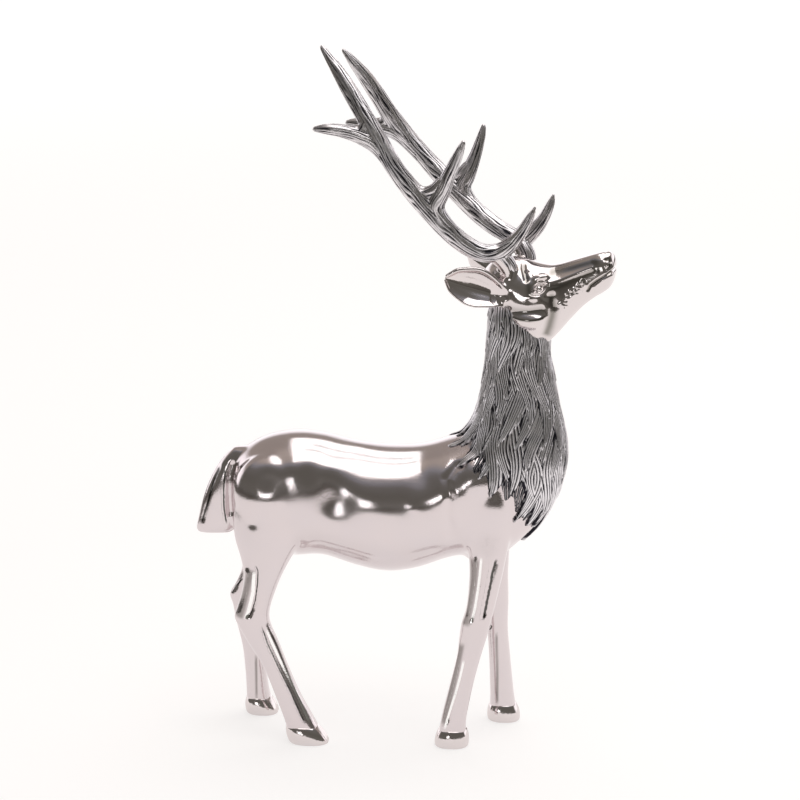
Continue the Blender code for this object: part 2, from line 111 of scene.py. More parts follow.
def tubeInto(solid, path, count=20):
    # path rows are x, y, z, radius
    path = np.array(path, float)
    along = np.gradient(path[:, :3], axis=0)
    along /= np.linalg.norm(along, axis=1)[:, None]
    side = np.cross(along, (0, 1, 0))
    side /= np.linalg.norm(side, axis=1)[:, None]
    third = np.cross(along, side)
    angle = np.linspace(0, 2 * math.pi, count, endpoint=False)
    rings = []
    for i in range(len(path)):
        spoke = np.outer(np.cos(angle), side[i]) + np.outer(np.sin(angle), third[i])
        rings.append(path[i, :3] + spoke * path[i, 3])
    loftInto(solid, rings)


def evaluatedMesh(thing):
    bpy.context.view_layer.update()
    depsgraph = bpy.context.evaluated_depsgraph_get()
    return bpy.data.meshes.new_from_object(thing.evaluated_get(depsgraph))


def withModifier(mesh, kind, **values):
    # the mesh after one modifier
    holder = bpy.data.objects.new("holder", mesh)
    bpy.context.scene.collection.objects.link(holder)
    modifier = holder.modifiers.new(kind.lower(), kind)
    for key, value in values.items():
        setattr(modifier, key, value)
    result = evaluatedMesh(holder)
    bpy.data.objects.remove(holder)
    return result


def fuse(solid, voxel):
    bmesh.ops.recalc_face_normals(solid, faces=solid.faces)
    mesh = bpy.data.meshes.new("fused")
    solid.to_mesh(mesh)
    solid.free()
    return withModifier(mesh, "REMESH", mode="VOXEL", voxel_size=voxel)


def pointsOf(mesh):
    flat = np.zeros(len(mesh.vertices) * 3, np.float32)
    mesh.vertices.foreach_get("co", flat)
    return flat.reshape(-1, 3).astype(float)


def normalsOf(mesh):
    flat = np.zeros(len(mesh.vertices) * 3, np.float32)
    mesh.vertex_normals.foreach_get("vector", flat)
    return flat.reshape(-1, 3).astype(float)


def movePoints(mesh, points):
    mesh.vertices.foreach_set("co", points.astype(np.float32).ravel())
    mesh.update()


def relax(mesh, weight, rounds):
    # each point moves toward the middle of its neighbours by its weight
    flat = np.zeros(len(mesh.edges) * 2, np.int32)
    mesh.edges.foreach_get("vertices", flat)
    first, second = flat.reshape(-1, 2).T
    points = pointsOf(mesh)
    count = len(points)
    degree = np.bincount(first, minlength=count) + np.bincount(second, minlength=count)
    pull = (0.5 * weight)[:, None] if np.ndim(weight) else 0.5 * weight
    for _ in range(rounds):
        total = np.empty_like(points)
        for axis in range(3):
            value = points[:, axis]
            ahead = np.bincount(first, value[second], count)
            total[:, axis] = ahead + np.bincount(second, value[first], count)
        points += pull * (total / degree[:, None] - points)
    movePoints(mesh, points)


def nearPath(spots, path):
    # distance of flat spots from a polyline
    return tracePath(spots, path)[0]


def tracePath(spots, path):
    # distance from a polyline, the share of its length where that falls, and which side of it
    path = np.array(path, float)
    best = np.full(len(spots), 1e9)
    along = np.zeros(len(spots))
    hand = np.ones(len(spots))
    lengths = np.linalg.norm(np.diff(path, axis=0), axis=1)
    done = 0
    for a, b, length in zip(path, path[1:], lengths):
        step = b - a
        t = np.clip(((spots - a) @ step) / (step @ step), 0, 1)
        gap = np.linalg.norm(spots - a - t[:, None] * step, axis=1)
        closer = gap < best
        along = np.where(closer, (done + t * length) / lengths.sum(), along)
        cross = step[0] * (spots[:, 1] - a[1]) - step[1] * (spots[:, 0] - a[0])
        hand = np.where(closer, np.where(cross < 0, -1, 1), hand)
        best = np.minimum(best, gap)
        done += length
    return best, along, hand


def softStep(low, high, value):
    t = np.clip((value - low) / (high - low), 0, 1)
    return t * t * (3 - 2 * t)


def writeAttribute(mesh, name, values):
    layer = mesh.attributes.new(name, "FLOAT", "POINT")
    layer.data.foreach_set("value", values.astype(np.float32))


def settle(name, mesh, materials):
    # from shares to metres in the frame, riding on the one body
    movePoints(mesh, pointsOf(mesh) * share + np.array(tableOrigin))
    mesh.name = name
    piece = bpy.data.objects.new(name, mesh)
    bpy.context.scene.collection.objects.link(piece)
    mesh.materials.clear()
    for material in materials:
        mesh.materials.append(material)
    mesh.shade_smooth()
    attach(piece, "root")
    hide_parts("stag")
    print("made", name, "with", len(mesh.vertices), "points")


# Shader groups

def newGroup(name, inputs, outputs):
    group = bpy.data.node_groups.new(name, "ShaderNodeTree")
    for label, kind, value in inputs:
        socket = group.interface.new_socket(name=label, in_out="INPUT", socket_type=kind)
        socket.default_value = value
    for label, kind in outputs:
        group.interface.new_socket(name=label, in_out="OUTPUT", socket_type=kind)
    return group, group.nodes.new("NodeGroupInput"), group.nodes.new("NodeGroupOutput")


def addNode(tree, kind, links=(), **values):
    node = tree.nodes.new(kind)
    for key, value in values.items():
        if key in node.inputs:
            node.inputs[key].default_value = value
        else:
            setattr(node, key, value)
    for socket, source in dict(links).items():
        tree.links.new(source, node.inputs[socket])
    return node


def castGrainGroup():
    # pebbled skin of a polished sand casting: fine pits over broad soft patches
    group, given, made = newGroup(
        "castGrain",
        [("Grain Size", "NodeSocketFloat", 900.0), ("Pit Share", "NodeSocketFloat", 0.4)],
        [("Height", "NodeSocketFloat"), ("Mottle", "NodeSocketFloat")],
    )
    place = addNode(group, "ShaderNodeTexCoord")
    fine = addNode(group, "ShaderNodeTexNoise",
                   {"Vector": place.outputs["Object"], "Scale": given.outputs["Grain Size"]},
                   Detail=3.0, Roughness=0.55)
    pits = addNode(group, "ShaderNodeTexVoronoi",
                   {"Vector": place.outputs["Object"], "Scale": given.outputs["Grain Size"]})
    broad = addNode(group, "ShaderNodeTexNoise", {"Vector": place.outputs["Object"]},
                    Scale=38.0, Detail=3.0)
    mixed = addNode(group, "ShaderNodeMix",
                    {"Factor": given.outputs["Pit Share"], "A": fine.outputs["Fac"],
                     "B": pits.outputs["Distance"]})
    group.links.new(mixed.outputs["Result"], made.inputs["Height"])
    group.links.new(broad.outputs["Fac"], made.inputs["Mottle"])
    return group


def oxideGroup():
    # dark oxide left in carving: 1 deep in a cut, 0 on a rubbed crest
    group, given, made = newGroup(
        "recessOxide",
        [("Carve", "NodeSocketFloat", 1.0), ("Dark Below", "NodeSocketFloat", 0.3),
         ("Bare From", "NodeSocketFloat", 0.8), ("Breakup", "NodeSocketFloat", 0.25)],
        [("Dark", "NodeSocketFloat")],
    )
    place = addNode(group, "ShaderNodeTexCoord")
    cloud = addNode(group, "ShaderNodeTexNoise", {"Vector": place.outputs["Object"]},
                    Scale=95.0, Detail=4.0)
    centred = addNode(group, "ShaderNodeMath", {0: cloud.outputs["Fac"]}, operation="SUBTRACT")
    centred.inputs[1].default_value = 0.5
    pushed = addNode(group, "ShaderNodeMath", {0: centred.outputs[0], 1: given.outputs["Breakup"]},
                     operation="MULTIPLY")
    level = addNode(group, "ShaderNodeMath", {0: given.outputs["Carve"], 1: pushed.outputs[0]},
                    operation="ADD")
    ramp = addNode(group, "ShaderNodeMapRange",
                   {"Value": level.outputs[0], "From Min": given.outputs["Dark Below"],
                    "From Max": given.outputs["Bare From"]})
    ramp.inputs["To Min"].default_value = 1.0
    ramp.inputs["To Max"].default_value = 0.0
    group.links.new(ramp.outputs["Result"], made.inputs["Dark"])
    return group


def paintedLightLineGroup():
    # one painted light line, a painted highlight or a painted shade stroke: 1 within its edges, which run a
    # little ragged
    group, given, made = newGroup(
        "paintedLightLine",
        [("Across", "NodeSocketFloat", 9.0), ("Level", "NodeSocketFloat", 0.0),
         ("Ragged", "NodeSocketFloat", 0.4)],
        [("Mask", "NodeSocketFloat")],
    )
    place = addNode(group, "ShaderNodeTexCoord")
    crumbs = addNode(group, "ShaderNodeTexNoise", {"Vector": place.outputs["Object"]},
                     Scale=520.0, Detail=3.0)
    gap = addNode(group, "ShaderNodeMath", {0: given.outputs["Across"]}, operation="ABSOLUTE")
    centred = addNode(group, "ShaderNodeMath", {0: crumbs.outputs["Fac"]}, operation="SUBTRACT")
    centred.inputs[1].default_value = 0.5
    pushed = addNode(group, "ShaderNodeMath",
                     {0: centred.outputs[0], 1: given.outputs["Ragged"], 2: gap.outputs[0]},
                     operation="MULTIPLY_ADD")
    edge = addNode(group, "ShaderNodeMapRange", {"Value": pushed.outputs[0]},
                   interpolation_type="SMOOTHSTEP")
    edge.inputs["From Min"].default_value = 0.7
    edge.inputs["From Max"].default_value = 1.3
    edge.inputs["To Min"].default_value = 1.0
    edge.inputs["To Max"].default_value = 0.0
    mask = addNode(group, "ShaderNodeMath", {0: edge.outputs["Result"], 1: given.outputs["Level"]},
                   operation="MULTIPLY")
    group.links.new(mask.outputs[0], made.inputs["Mask"])
    return group


def toned(tree, colour, mask, tone):
    # the colour with a tone laid over it where the mask is 1
    mix = addNode(tree, "ShaderNodeMix", {"Factor": mask, "A": colour}, data_type="RGBA")
    mix.inputs["B"].default_value = (*tone, 1)
    return mix.outputs["Result"]


bumpDistance = 0.0004    # metres


def metalMaterial(name, look, groups):
    material = bpy.data.materials.new(name)
    material.use_nodes = True
    tree = material.node_tree
    shader = tree.nodes["Principled BSDF"]
    shader.inputs["Metallic"].default_value = 1.0
    grain = addNode(tree, "ShaderNodeGroup", node_tree=groups["grain"])
    grain.inputs["Grain Size"].default_value = look["grainSize"]
    grain.inputs["Pit Share"].default_value = look["pitShare"]
    tint = addNode(tree, "ShaderNodeMix", {"Factor": grain.outputs["Mottle"]}, data_type="RGBA")
    tint.inputs["A"].default_value = (*look["metalWarm"], 1)
    tint.inputs["B"].default_value = (*look["metalCool"], 1)
    colour = tint.outputs["Result"]
    gloss = addNode(tree, "ShaderNodeMapRange", {"Value": grain.outputs["Mottle"]})
    gloss.inputs["From Min"].default_value = 0.3
    gloss.inputs["From Max"].default_value = 0.7
    gloss.inputs["To Min"].default_value = look["roughness"][0]
    gloss.inputs["To Max"].default_value = look["roughness"][1]
    rough = gloss.outputs["Result"]
    if "oxide" in look:
        carve = addNode(tree, "ShaderNodeAttribute", attribute_name="carve")
        oxide = addNode(tree, "ShaderNodeGroup", {"Carve": carve.outputs["Fac"]},
                        node_tree=groups["oxide"])
        oxide.inputs["Dark Below"].default_value = look["darkBelow"]
        oxide.inputs["Bare From"].default_value = look["bareFrom"]
        oxide.inputs["Breakup"].default_value = look["breakup"]
        darkened = addNode(tree, "ShaderNodeMix", {"Factor": oxide.outputs["Dark"], "A": colour},
                           data_type="RGBA")
        darkened.inputs["B"].default_value = (*look["oxide"], 1)
        colour = darkened.outputs["Result"]
        dulled = addNode(tree, "ShaderNodeMix", {"Factor": oxide.outputs["Dark"], "A": rough})
        dulled.inputs["B"].default_value = look["oxideRoughness"]
        rough = dulled.outputs["Result"]
    # painted shade over the metal colour, then painted highlight and painted shade lines
    if "paintedShade" in look:
        paintedShade = addNode(tree, "ShaderNodeAttribute", attribute_name="paintedShade")
        colour = toned(tree, colour, paintedShade.outputs["Fac"], look["paintedShade"])
        for kind, ragged, tone in look.get("lines", []):
            across = addNode(tree, "ShaderNodeAttribute", attribute_name=kind + "Across")
            level = addNode(tree, "ShaderNodeAttribute", attribute_name=kind + "Level")
            line = addNode(tree, "ShaderNodeGroup",
                           {"Across": across.outputs["Fac"], "Level": level.outputs["Fac"]},
                           node_tree=groups["line"])
            line.inputs["Ragged"].default_value = ragged
            colour = toned(tree, colour, line.outputs["Mask"], tone)
    tree.links.new(colour, shader.inputs["Base Color"])
    tree.links.new(rough, shader.inputs["Roughness"])
    bump = addNode(tree, "ShaderNodeBump", {"Height": grain.outputs["Height"]})
    bump.inputs["Strength"].default_value = look["bump"]
    bump.inputs["Distance"].default_value = bumpDistance
    tree.links.new(bump.outputs["Normal"], shader.inputs["Normal"])
    return material


finishes = {
    "bodyMetal": {
        "metalWarm": (0.72, 0.645, 0.645), "metalCool": (0.70, 0.64, 0.655),
        "roughness": (0.10, 0.17), "grainSize": 850.0, "pitShare": 0.35, "bump": 0.16,
        # painted shade bands, then painted shade lines (dark) and painted highlight lines (bright) over the
        # metal
        "paintedShade": (0.25, 0.225, 0.215),
        "lines": [("dark", 1.6, (0.10, 0.095, 0.09)), ("bright", 0.5, (1.0, 0.99, 0.98))],
    },
    "headMetal": {
        "metalWarm": (0.75, 0.68, 0.665), "metalCool": (0.72, 0.67, 0.675),
        "roughness": (0.06, 0.11), "grainSize": 700.0, "pitShare": 0.3, "bump": 0.09,
        # painted shade and dark reflection laid over the face
        "paintedShade": (0.20, 0.19, 0.165),
    },
    "hoofMetal": {
        "metalWarm": (0.75, 0.68, 0.665), "metalCool": (0.72, 0.67, 0.675),
        "roughness": (0.05, 0.10), "grainSize": 480.0, "pitShare": 0.3, "bump": 0.26,
    },
    "maneMetal": {
        "metalWarm": (0.93, 0.89, 0.90), "metalCool": (0.84, 0.82, 0.86),
        "roughness": (0.28, 0.38), "grainSize": 1300.0, "pitShare": 0.4, "bump": 0.06,
        "oxide": (0.022, 0.021, 0.028), "oxideRoughness": 0.45,
        "darkBelow": 0.22, "bareFrom": 0.72, "breakup": 0.45,
    },
    "antlerMetal": {
        "metalWarm": (0.86, 0.81, 0.81), "metalCool": (0.72, 0.70, 0.73),
        "roughness": (0.22, 0.34), "grainSize": 1200.0, "pitShare": 0.4, "bump": 0.06,
        "oxide": (0.028, 0.027, 0.034), "oxideRoughness": 0.42,
        "darkBelow": 0.24, "bareFrom": 0.84, "breakup": 0.7,
    },
}
shaderGroups = {"grain": castGrainGroup(), "oxide": oxideGroup(), "line": paintedLightLineGroup()}
metals = {name: metalMaterial(name, look, shaderGroups) for name, look in finishes.items()}
print("materials ready")


# Body: trunk, muscles, legs and tail as one smooth skin

bodyForm = {
    "voxel": 1.0,
    "softRounds": 42,        # smoothing over the trunk, less on the legs
    "unevenness": (0.13, 0.02),
    "triangleLimit": 196000,
    # by x: top, bottom, half width, roundness
    "trunk": [
        (-134, 218, 176, 8, 2.0), (-128, 230, 164, 22, 2.0), (-117, 240, 153, 33, 2.1),
        (-100, 247, 147, 39.5, 2.2), (-80, 249.5, 149, 41.5, 2.2), (-60, 247.5, 150, 41.5, 2.2),
        (-36, 242, 142.5, 42.2, 2.2), (-10, 239, 137.5, 42.9, 2.2), (15, 240, 141, 42.6, 2.2),
        (40, 247, 150, 42, 2.2), (62, 253, 154, 40.5, 2.2), (84, 250, 157, 37, 2.1),
        (104, 238, 171, 30, 2.0), (118, 222, 190, 18, 2.0),
    ],
    # by z: back, front, half width
    "neck": [
        (148, 52, 82, 16), (158, 44, 91, 25), (170, 42, 103, 31), (184, 42, 114, 35.5),
        (200, 42, 124, 38.5), (216, 42, 129.5, 40), (234, 44, 132, 40), (250, 49, 130.5, 38),
        (264, 58, 127.5, 35), (280, 63, 124, 31.5), (298, 66, 120.5, 28.5), (316, 68, 117, 27),
        (334, 69, 117, 26), (350, 70, 112, 23), (362, 74, 104, 16),
    ],
    "neckInset": 1.4,
    # by z: back, front, half width
    "tail": [
        (236, -132, -116, 6), (224, -143, -122, 8), (208, -152, -126, 9.5), (192, -158, -128, 9.5),
        (177, -161.6, -130, 8.5), (168, -163.4, -132, 7), (164.5, -162, -136, 4.5),
    ],
    # x, distance from the middle plane, z, three radii, lean
    "muscles": [
        (-99, 24, 204, 31, 18.5, 34, -12), (63, 25.5, 219, 22, 16.4, 24, 14),
        (73, 27, 198, 20, 14, 26, 0),
    ],
    # creases (depth above 0) and ridges (below 0) seen from the side: side, depth, width, then x and z
    "creases": [
        # elbow and shoulder
        (-1, 2.0, 3.2, [(56, 236), (46, 232), (39, 223), (42, 210), (40, 195), (43, 182), (40, 170)]),
        (1, 1.7, 3.4, [(56, 236), (46, 232), (39, 223), (42, 210), (40, 195), (43, 182), (40, 170)]),
        # belly
        (-1, 0.9, 4.2, [(-78, 163), (-61, 165), (-37, 159.6), (-17, 153.4), (2, 157), (26, 164), (42, 167)]),
        (1, 0.8, 4.2, [(-78, 163), (-61, 165), (-37, 159.6), (-17, 153.4), (2, 157), (26, 164), (42, 167)]),
        # fold from the flank down the front of the thigh
        (-1, 0.8, 3.0, [(-72, 172), (-84, 152), (-93, 128), (-99, 112)]),
        (1, 0.7, 3.0, [(-74, 172), (-88, 152), (-100, 128), (-106, 112)]),
        # hollow in front of the hamstring
        (-1, 2.1, 2.3, [(-111.5, 151), (-110.5, 138), (-112, 126), (-115, 114), (-119.5, 104)]),
        (-1, -0.9, 2.2, [(-119, 148), (-118, 134), (-121, 116), (-125, 104)]),
        (1, 1.8, 2.4, [(-118, 151), (-117, 138), (-120, 124), (-126, 110)]),
        # front edge of the hind cannons
        (-1, 0.5, 1.2, [(-107.7, 101.7), (-104.2, 94.3), (-94.6, 70.7), (-80.7, 41), (-71, 17.3)]),
        (-1, -0.4, 1.7, [(-104, 102), (-100.5, 94.5), (-91, 71), (-77.5, 42), (-68.5, 19)]),
        (1, 0.9, 1.8, [(-122, 98), (-120, 70), (-117, 30)]),
        # forelegs: groove in front of the elbow, ledge along the back edge
        (-1, 1.5, 1.7, [(79, 161), (76.5, 150), (74, 139), (71.2, 123.2), (69, 109)]),
        (-1, 1.3, 1.7, [(66.4, 163), (64.3, 139), (60.7, 118.2), (57.8, 103.8)]),
        (-1, -0.8, 2.0, [(62.5, 162), (60.6, 139), (57.2, 118), (54.5, 104)]),
        (-1, 1.0, 1.5, [(54.8, 95), (53.4, 82), (52, 75), (45.3, 46), (39.4, 17)]),
        (-1, -0.6, 1.6, [(51.4, 95), (50.2, 82), (48.6, 75), (42, 46), (36.4, 18)]),
        (1, 1.2, 2.0, [(68, 158), (69, 132), (70, 108)]),
        (1, 1.2, 2.0, [(81, 158), (80, 132), (79, 108)]),
        (1, 0.8, 1.8, [(75, 98), (76, 60), (78, 22)]),
        # tail: rib along the back edge, and the cleft against the haunch
        (-1, 0.9, 1.5, [(-141, 224), (-145.7, 216), (-151.2, 201), (-155, 185), (-157.4, 172)]),
        (1, 0.9, 1.5, [(-141, 224), (-145.7, 216), (-151.2, 201), (-155, 185), (-157.4, 172)]),
        (-1, 1.8, 2.3, [(-131, 228), (-134.5, 214), (-135, 196), (-134.5, 178)]),
        (1, 1.8, 2.3, [(-131, 228), (-134.5, 214), (-135, 196), (-134.5, 178)]),
    ],
    # swellings (above 0) and hollows on both sides: x, z, radius, height
    "lumps": [
        (-80, 230, 14, 2.2), (-101, 221, 9, -1.3), (-47, 203, 14, -2.7), (-55, 229, 9, 1.3),
        (-69, 224, 7, -0.9), (-20, 200, 17, 1.3), (8, 205, 22, 0.8), (50, 214, 17, 2.4),
        (20, 222, 11, -1.7), (-113, 184, 4.5, -0.9), (-82.5, 183, 4.5, -0.8), (13, 201, 5, 0.5),
        (-118, 200, 13, 1.0), (42, 188, 4, -0.6), (-34, 232, 12, -0.8), (-96, 200, 14, 0.9),
    ],
    # lines of painted light: kind (a painted highlight, a painted shade line or a painted shade band), side
    # of the stag, way they face, half width, then x and z
    "paintedLightLines": [
        ("bright", -1, -1, 0.95,
         [(66.5, 160.9), (65.5, 146.7), (64.1, 134.1), (61.8, 118.2), (58.6, 103.9)]),
        ("bright", -1, -1, 0.85, [(53.5, 75), (50.5, 60.6), (46.8, 46), (42.4, 31.4), (37.9, 15)]),
        ("bright", -1, -1, 1.3,
         [(-112.5, 145), (-113.7, 127.4), (-115.7, 118.5), (-118.2, 109.5), (-120.5, 104)]),
        ("bright", -1, -1, 0.95,
         [(-104.4, 97.7), (-99.3, 84.4), (-90.3, 63.7), (-80.6, 43), (-68.7, 17)]),
        ("bright", 1, 1, 0.75, [(71, 158), (69.5, 140), (68.6, 122), (68, 106)]),
        ("bright", 1, 1, 0.9, [(-124, 96), (-121.6, 70), (-118.8, 40), (-118, 16)]),
        ("dark", -1, -1, 1.0, [(78.5, 159.6), (75, 146.9), (74, 139), (71.9, 128), (68.3, 107.3)]),
        ("dark", -1, -1, 0.5,
         [(-111.4, 150), (-109.5, 145), (-110, 134.8), (-112.1, 120), (-115.1, 111), (-118.3, 104.4)]),
        ("dark", -1, -1, 0.5,
         [(-107.6, 99.8), (-102.8, 84.3), (-94.6, 65), (-84.9, 44.4), (-72.3, 16)]),
        ("dark", 1, -1, 0.6, [(73.6, 84), (71.6, 78)]),
        ("dark", 1, -1, 0.5, [(-129.4, 118.4), (-135.9, 110.5), (-139.6, 104)]),
        ("dark", -1, -1, 0.6, [(-138.4, 221), (-139.5, 205), (-139.8, 188), (-138, 173)]),
        ("dark", -1, -1, 0.8, [(-142.4, 221), (-147.5, 209), (-151.9, 194), (-156, 181), (-159, 172)]),
        ("dark", 1, 1, 0.8, [(82, 158), (80.5, 140), (79.6, 124), (79, 107)]),
        ("paintedShade", -1, -1, 4.0, [(61.4, 160), (59.7, 138), (56.1, 117.4), (53.2, 101.5)]),
        ("paintedShade", -1, -1, 2.4, [(51.8, 90), (47.4, 64.6), (42.2, 41.9), (36.2, 17.4)]),
        ("paintedShade", -1, -1, 3.4, [(-114.7, 147), (-119.2, 128.4), (-122.9, 113.5), (-125.9, 104)]),
        ("paintedShade", -1, -1, 1.1, [(-101, 95), (-95.8, 83), (-86.1, 60.8), (-76.4, 40), (-66.6, 17.7)]),
        ("paintedShade", 1, -1, 1.0, [(77, 78), (77.8, 44), (78.4, 14)]),
        ("paintedShade", 1, -1, 0.9, [(-120, 52), (-119.7, 14)]),
        ("paintedShade", 1, 1, 3.2, [(64, 160), (62.8, 138), (62, 118), (64, 102)]),
        ("paintedShade", 1, 1, 3.0, [(-120, 146), (-123, 128), (-128.4, 114), (-133, 104)]),
    ],
}

# by z: back, front, distance from the middle plane, half width
legForms = {
    "rightFore": [
        (196, 52, 88, 27, 11), (170, 54, 88, 27.6, 11.6), (152, 56.5, 85, 28.2, 11.4),
        (133, 56.2, 80.8, 29, 10.6), (116, 54.5, 77, 29.3, 10), (103, 50.8, 73.8, 29.5, 9.6),
        (90, 49, 70.5, 29.5, 8.8), (76, 47.5, 66.5, 29.5, 8.2), (54, 42.5, 61, 29.5, 8.2),
        (34, 37.5, 57, 30, 8.6), (20, 34.6, 55, 30, 9.6), (6, 32.5, 55.5, 30, 10),
    ],
    "leftFore": [
        (196, 52, 92, 27, 11), (170, 55, 92, 27.6, 11.6), (152, 58, 87.5, 28.2, 11.4),
        (133, 61, 86, 29, 10.6), (116, 63.5, 86, 29.3, 10), (103, 65, 86.3, 29.5, 9.6),
        (90, 68, 86, 29.5, 8.8), (76, 69.3, 86.2, 29.5, 8.2), (54, 70.8, 88.2, 29.5, 8.2),
        (34, 71.6, 90.2, 30, 8.6), (20, 72, 91.8, 30, 9.6), (6, 71.5, 94, 30, 10),
    ],
    "rightHind": [
        (214, -122, -72, 22, 15), (190, -130, -70, 25, 15.5), (170, -129.5, -75, 26.6, 14),
        (152, -124.5, -84.5, 27.8, 12.2), (138, -122, -92, 29, 10.8), (124, -124, -97.5, 29.6, 9.4),
        (113, -127.3, -101, 30, 8.8), (105, -129.6, -102, 30, 8.6), (97, -126.6, -100.5, 30, 8.2),
        (84, -119.6, -95, 30, 7.6), (64, -107.6, -87.6, 30, 7.6), (40, -98, -77.6, 30.5, 8.2),
        (20, -90.8, -67, 31, 9.4), (8, -87.5, -61, 31, 10),
    ],
    "leftHind": [
        (214, -124, -74, 22, 15), (190, -132, -74, 25, 15.5), (170, -132, -80, 26.6, 14),
        (152, -128, -90, 27.8, 12.2), (138, -129, -99, 29, 10.8), (124, -131.5, -107, 29.6, 9.4),
        (112, -136.5, -112, 30.5, 8.8), (103, -141.2, -114.5, 31, 8.6), (94, -139, -115.5, 31, 8.2),
        (80, -136.5, -116.5, 31, 7.6), (58, -131.6, -114.6, 31, 7.6), (36, -129.6, -112.4, 31.5, 8.2),
        (20, -129, -110.6, 32, 9.4), (8, -128.8, -108, 32, 10),
    ],
}


def makeBody():
    solid = bmesh.new()
    rings = []
    for x, top, bottom, half, roundness in smoothRows(bodyForm["trunk"], 8):
        yz = oval(half, (top - bottom) / 2, roundness, 72)
        rings.append([(x, y, (top + bottom) / 2 + z) for y, z in yz])
    loftInto(solid, rings)
    inset = bodyForm["neckInset"]
    rings = []
    for z, back, front, half in smoothRows(bodyForm["neck"], 6):
        xy = oval((front - back) / 2 - inset, half - inset, 2.0, 64)
        rings.append([((back + front) / 2 + x, y, z) for x, y in xy])
    loftInto(solid, rings)
    rings = []
    for z, back, front, half in smoothRows(bodyForm["tail"], 6):
        xy = oval((front - back) / 2, half, 2.5, 40)
        rings.append([((back + front) / 2 + x, y, z) for x, y in xy])
    loftInto(solid, rings)
    for x, out, z, deep, wide, tall, lean in bodyForm["muscles"]:
        for side in (-1, 1):
            ballInto(solid, (x, side * out, z), (deep, wide, tall), lean)
    for name, form in legForms.items():
        side = -1 if name.startswith("right") else 1
        rings = []
        for z, back, front, out, half in smoothRows(form, 8):
            squareness = 2.0 + 1.0 * softStep(165, 125, z)
            xy = oval((front - back) / 2, half, squareness, 44)
            rings.append([((back + front) / 2 + x, side * out + y, z) for x, y in xy])
        loftInto(solid, rings)
    mesh = fuse(solid, bodyForm["voxel"])

    points = pointsOf(mesh)
    x, y, z = points.T
    trunkShare = softStep(105, 160, z) * 0.95 + 0.05
    relax(mesh, trunkShare * (1 - 0.7 * softStep(-126, -138, x)), bodyForm["softRounds"])
    relax(mesh, np.full(len(points), 0.5), 3)
    sculptBody(mesh)
    count = sum(len(face.vertices) - 2 for face in mesh.polygons)
    if count > bodyForm["triangleLimit"]:
        mesh = withModifier(mesh, "DECIMATE", ratio=bodyForm["triangleLimit"] / count)
    paintLightOnBody(mesh)
    return mesh


def sculptBody(mesh):
    points = pointsOf(mesh)
    normals = normalsOf(mesh)
    x, y, z = points.T
    flat = points[:, (0, 2)]
    move = np.zeros(len(points))
    for side in (-1, 1):
        facing = softStep(0.05, 0.45, normals[:, 1] * side) * (y * side > 3)
        for lineSide, depth, width, path in bodyForm["creases"]:
            if lineSide == side:
                gap, along = tracePath(flat, path)[:2]
                ends = softStep(0, 0.12, along) * softStep(1, 0.88, along)
                move -= facing * depth * ends * np.exp(-(gap / width) ** 2)
        for lumpX, lumpZ, radius, height in bodyForm["lumps"]:
            gap = np.hypot(x - lumpX, z - lumpZ)
            move += facing * height * np.exp(-(gap / radius) ** 2)
    # hand-worked unevenness over the trunk
    wave = np.sin(x / 9.1 + 1.3 * np.sin(z / 13.7)) * np.sin(z / 8.3 + 1.1 * np.sin(x / 16.1) + y / 21)
    ripple = np.sin(x / 4.9 + z / 7.7 + 2 * np.sin(y / 11)) * np.sin(z / 5.3 - x / 9.7)
    worked = softStep(110, 160, z)
    broad, fine = bodyForm["unevenness"]
    move += worked * (broad * wave + fine * ripple)
    movePoints(mesh, points + normals * move[:, None])
    relax(mesh, np.full(len(points), 0.6), 2)


def paintLightOnBody(mesh):
    # painted light: how far across the nearest painted highlight or painted shade line each point lies, in
    # half widths, and how strong it is there
    points = pointsOf(mesh)
    normals = normalsOf(mesh)
    flat = points[:, (0, 2)]
    across = {kind: np.full(len(points), 9.0) for kind in ("bright", "dark")}
    level = {kind: np.zeros(len(points)) for kind in ("bright", "dark", "paintedShade")}
    for kind, side, way, halfWidth, path in bodyForm["paintedLightLines"]:
        facing = softStep(0.15, 0.5, normals[:, 1] * way) * (points[:, 1] * side > 3)
        gap, along, hand = tracePath(flat, path)
        gap = gap / halfWidth
        strength = facing * softStep(0, 0.08, along) * softStep(1, 0.92, along)
        if kind == "paintedShade":
            level[kind] = np.maximum(level[kind], strength * np.exp(-gap ** 4) * 0.85)
        else:
            strength = strength * softStep(4, 3, gap)
            wins = (strength > 0) & (gap < np.abs(across[kind]))
            across[kind] = np.where(wins, gap * hand, across[kind])
            level[kind] = np.where(wins, strength, level[kind])
    for kind, values in across.items():
        writeAttribute(mesh, kind + "Across", values)
        writeAttribute(mesh, kind + "Level", level[kind])
    writeAttribute(mesh, "paintedShade", level["paintedShade"])


bodyMesh = makeBody()
bodyTree = BVHTree.FromPolygons(
    [tuple(p) for p in pointsOf(bodyMesh)], [tuple(f.vertices) for f in bodyMesh.polygons])
settle("body", bodyMesh, [metals["bodyMetal"]])


# Hooves: flared shells that stand a little proud of the ankles

hoofForm = {
    "height": 14.5,
    "step": 0.5,
    "cleftDepth": 0.9,
    "count": 96,
    # heel, toe, half width at the sole
    "soles": {
        "rightFore": (29.5, 57.5, 12), "leftFore": (69.8, 97.2, 12),
        "rightHind": (-87, -54, 12), "leftHind": (-129.6, -102, 12),
    },
    # share of the way down, how far it stands proud of a straight flare
    "profile": [
        (0.0, -2.2), (0.0, -0.9), (0.02, -0.4), (0.06, 0.0), (0.14, 0.35), (0.26, 0.7),
        (0.4, 0.95), (0.55, 0.95), (0.7, 0.75), (0.83, 0.35), (0.93, -0.2), (1.0, -1.2),
    ],
}


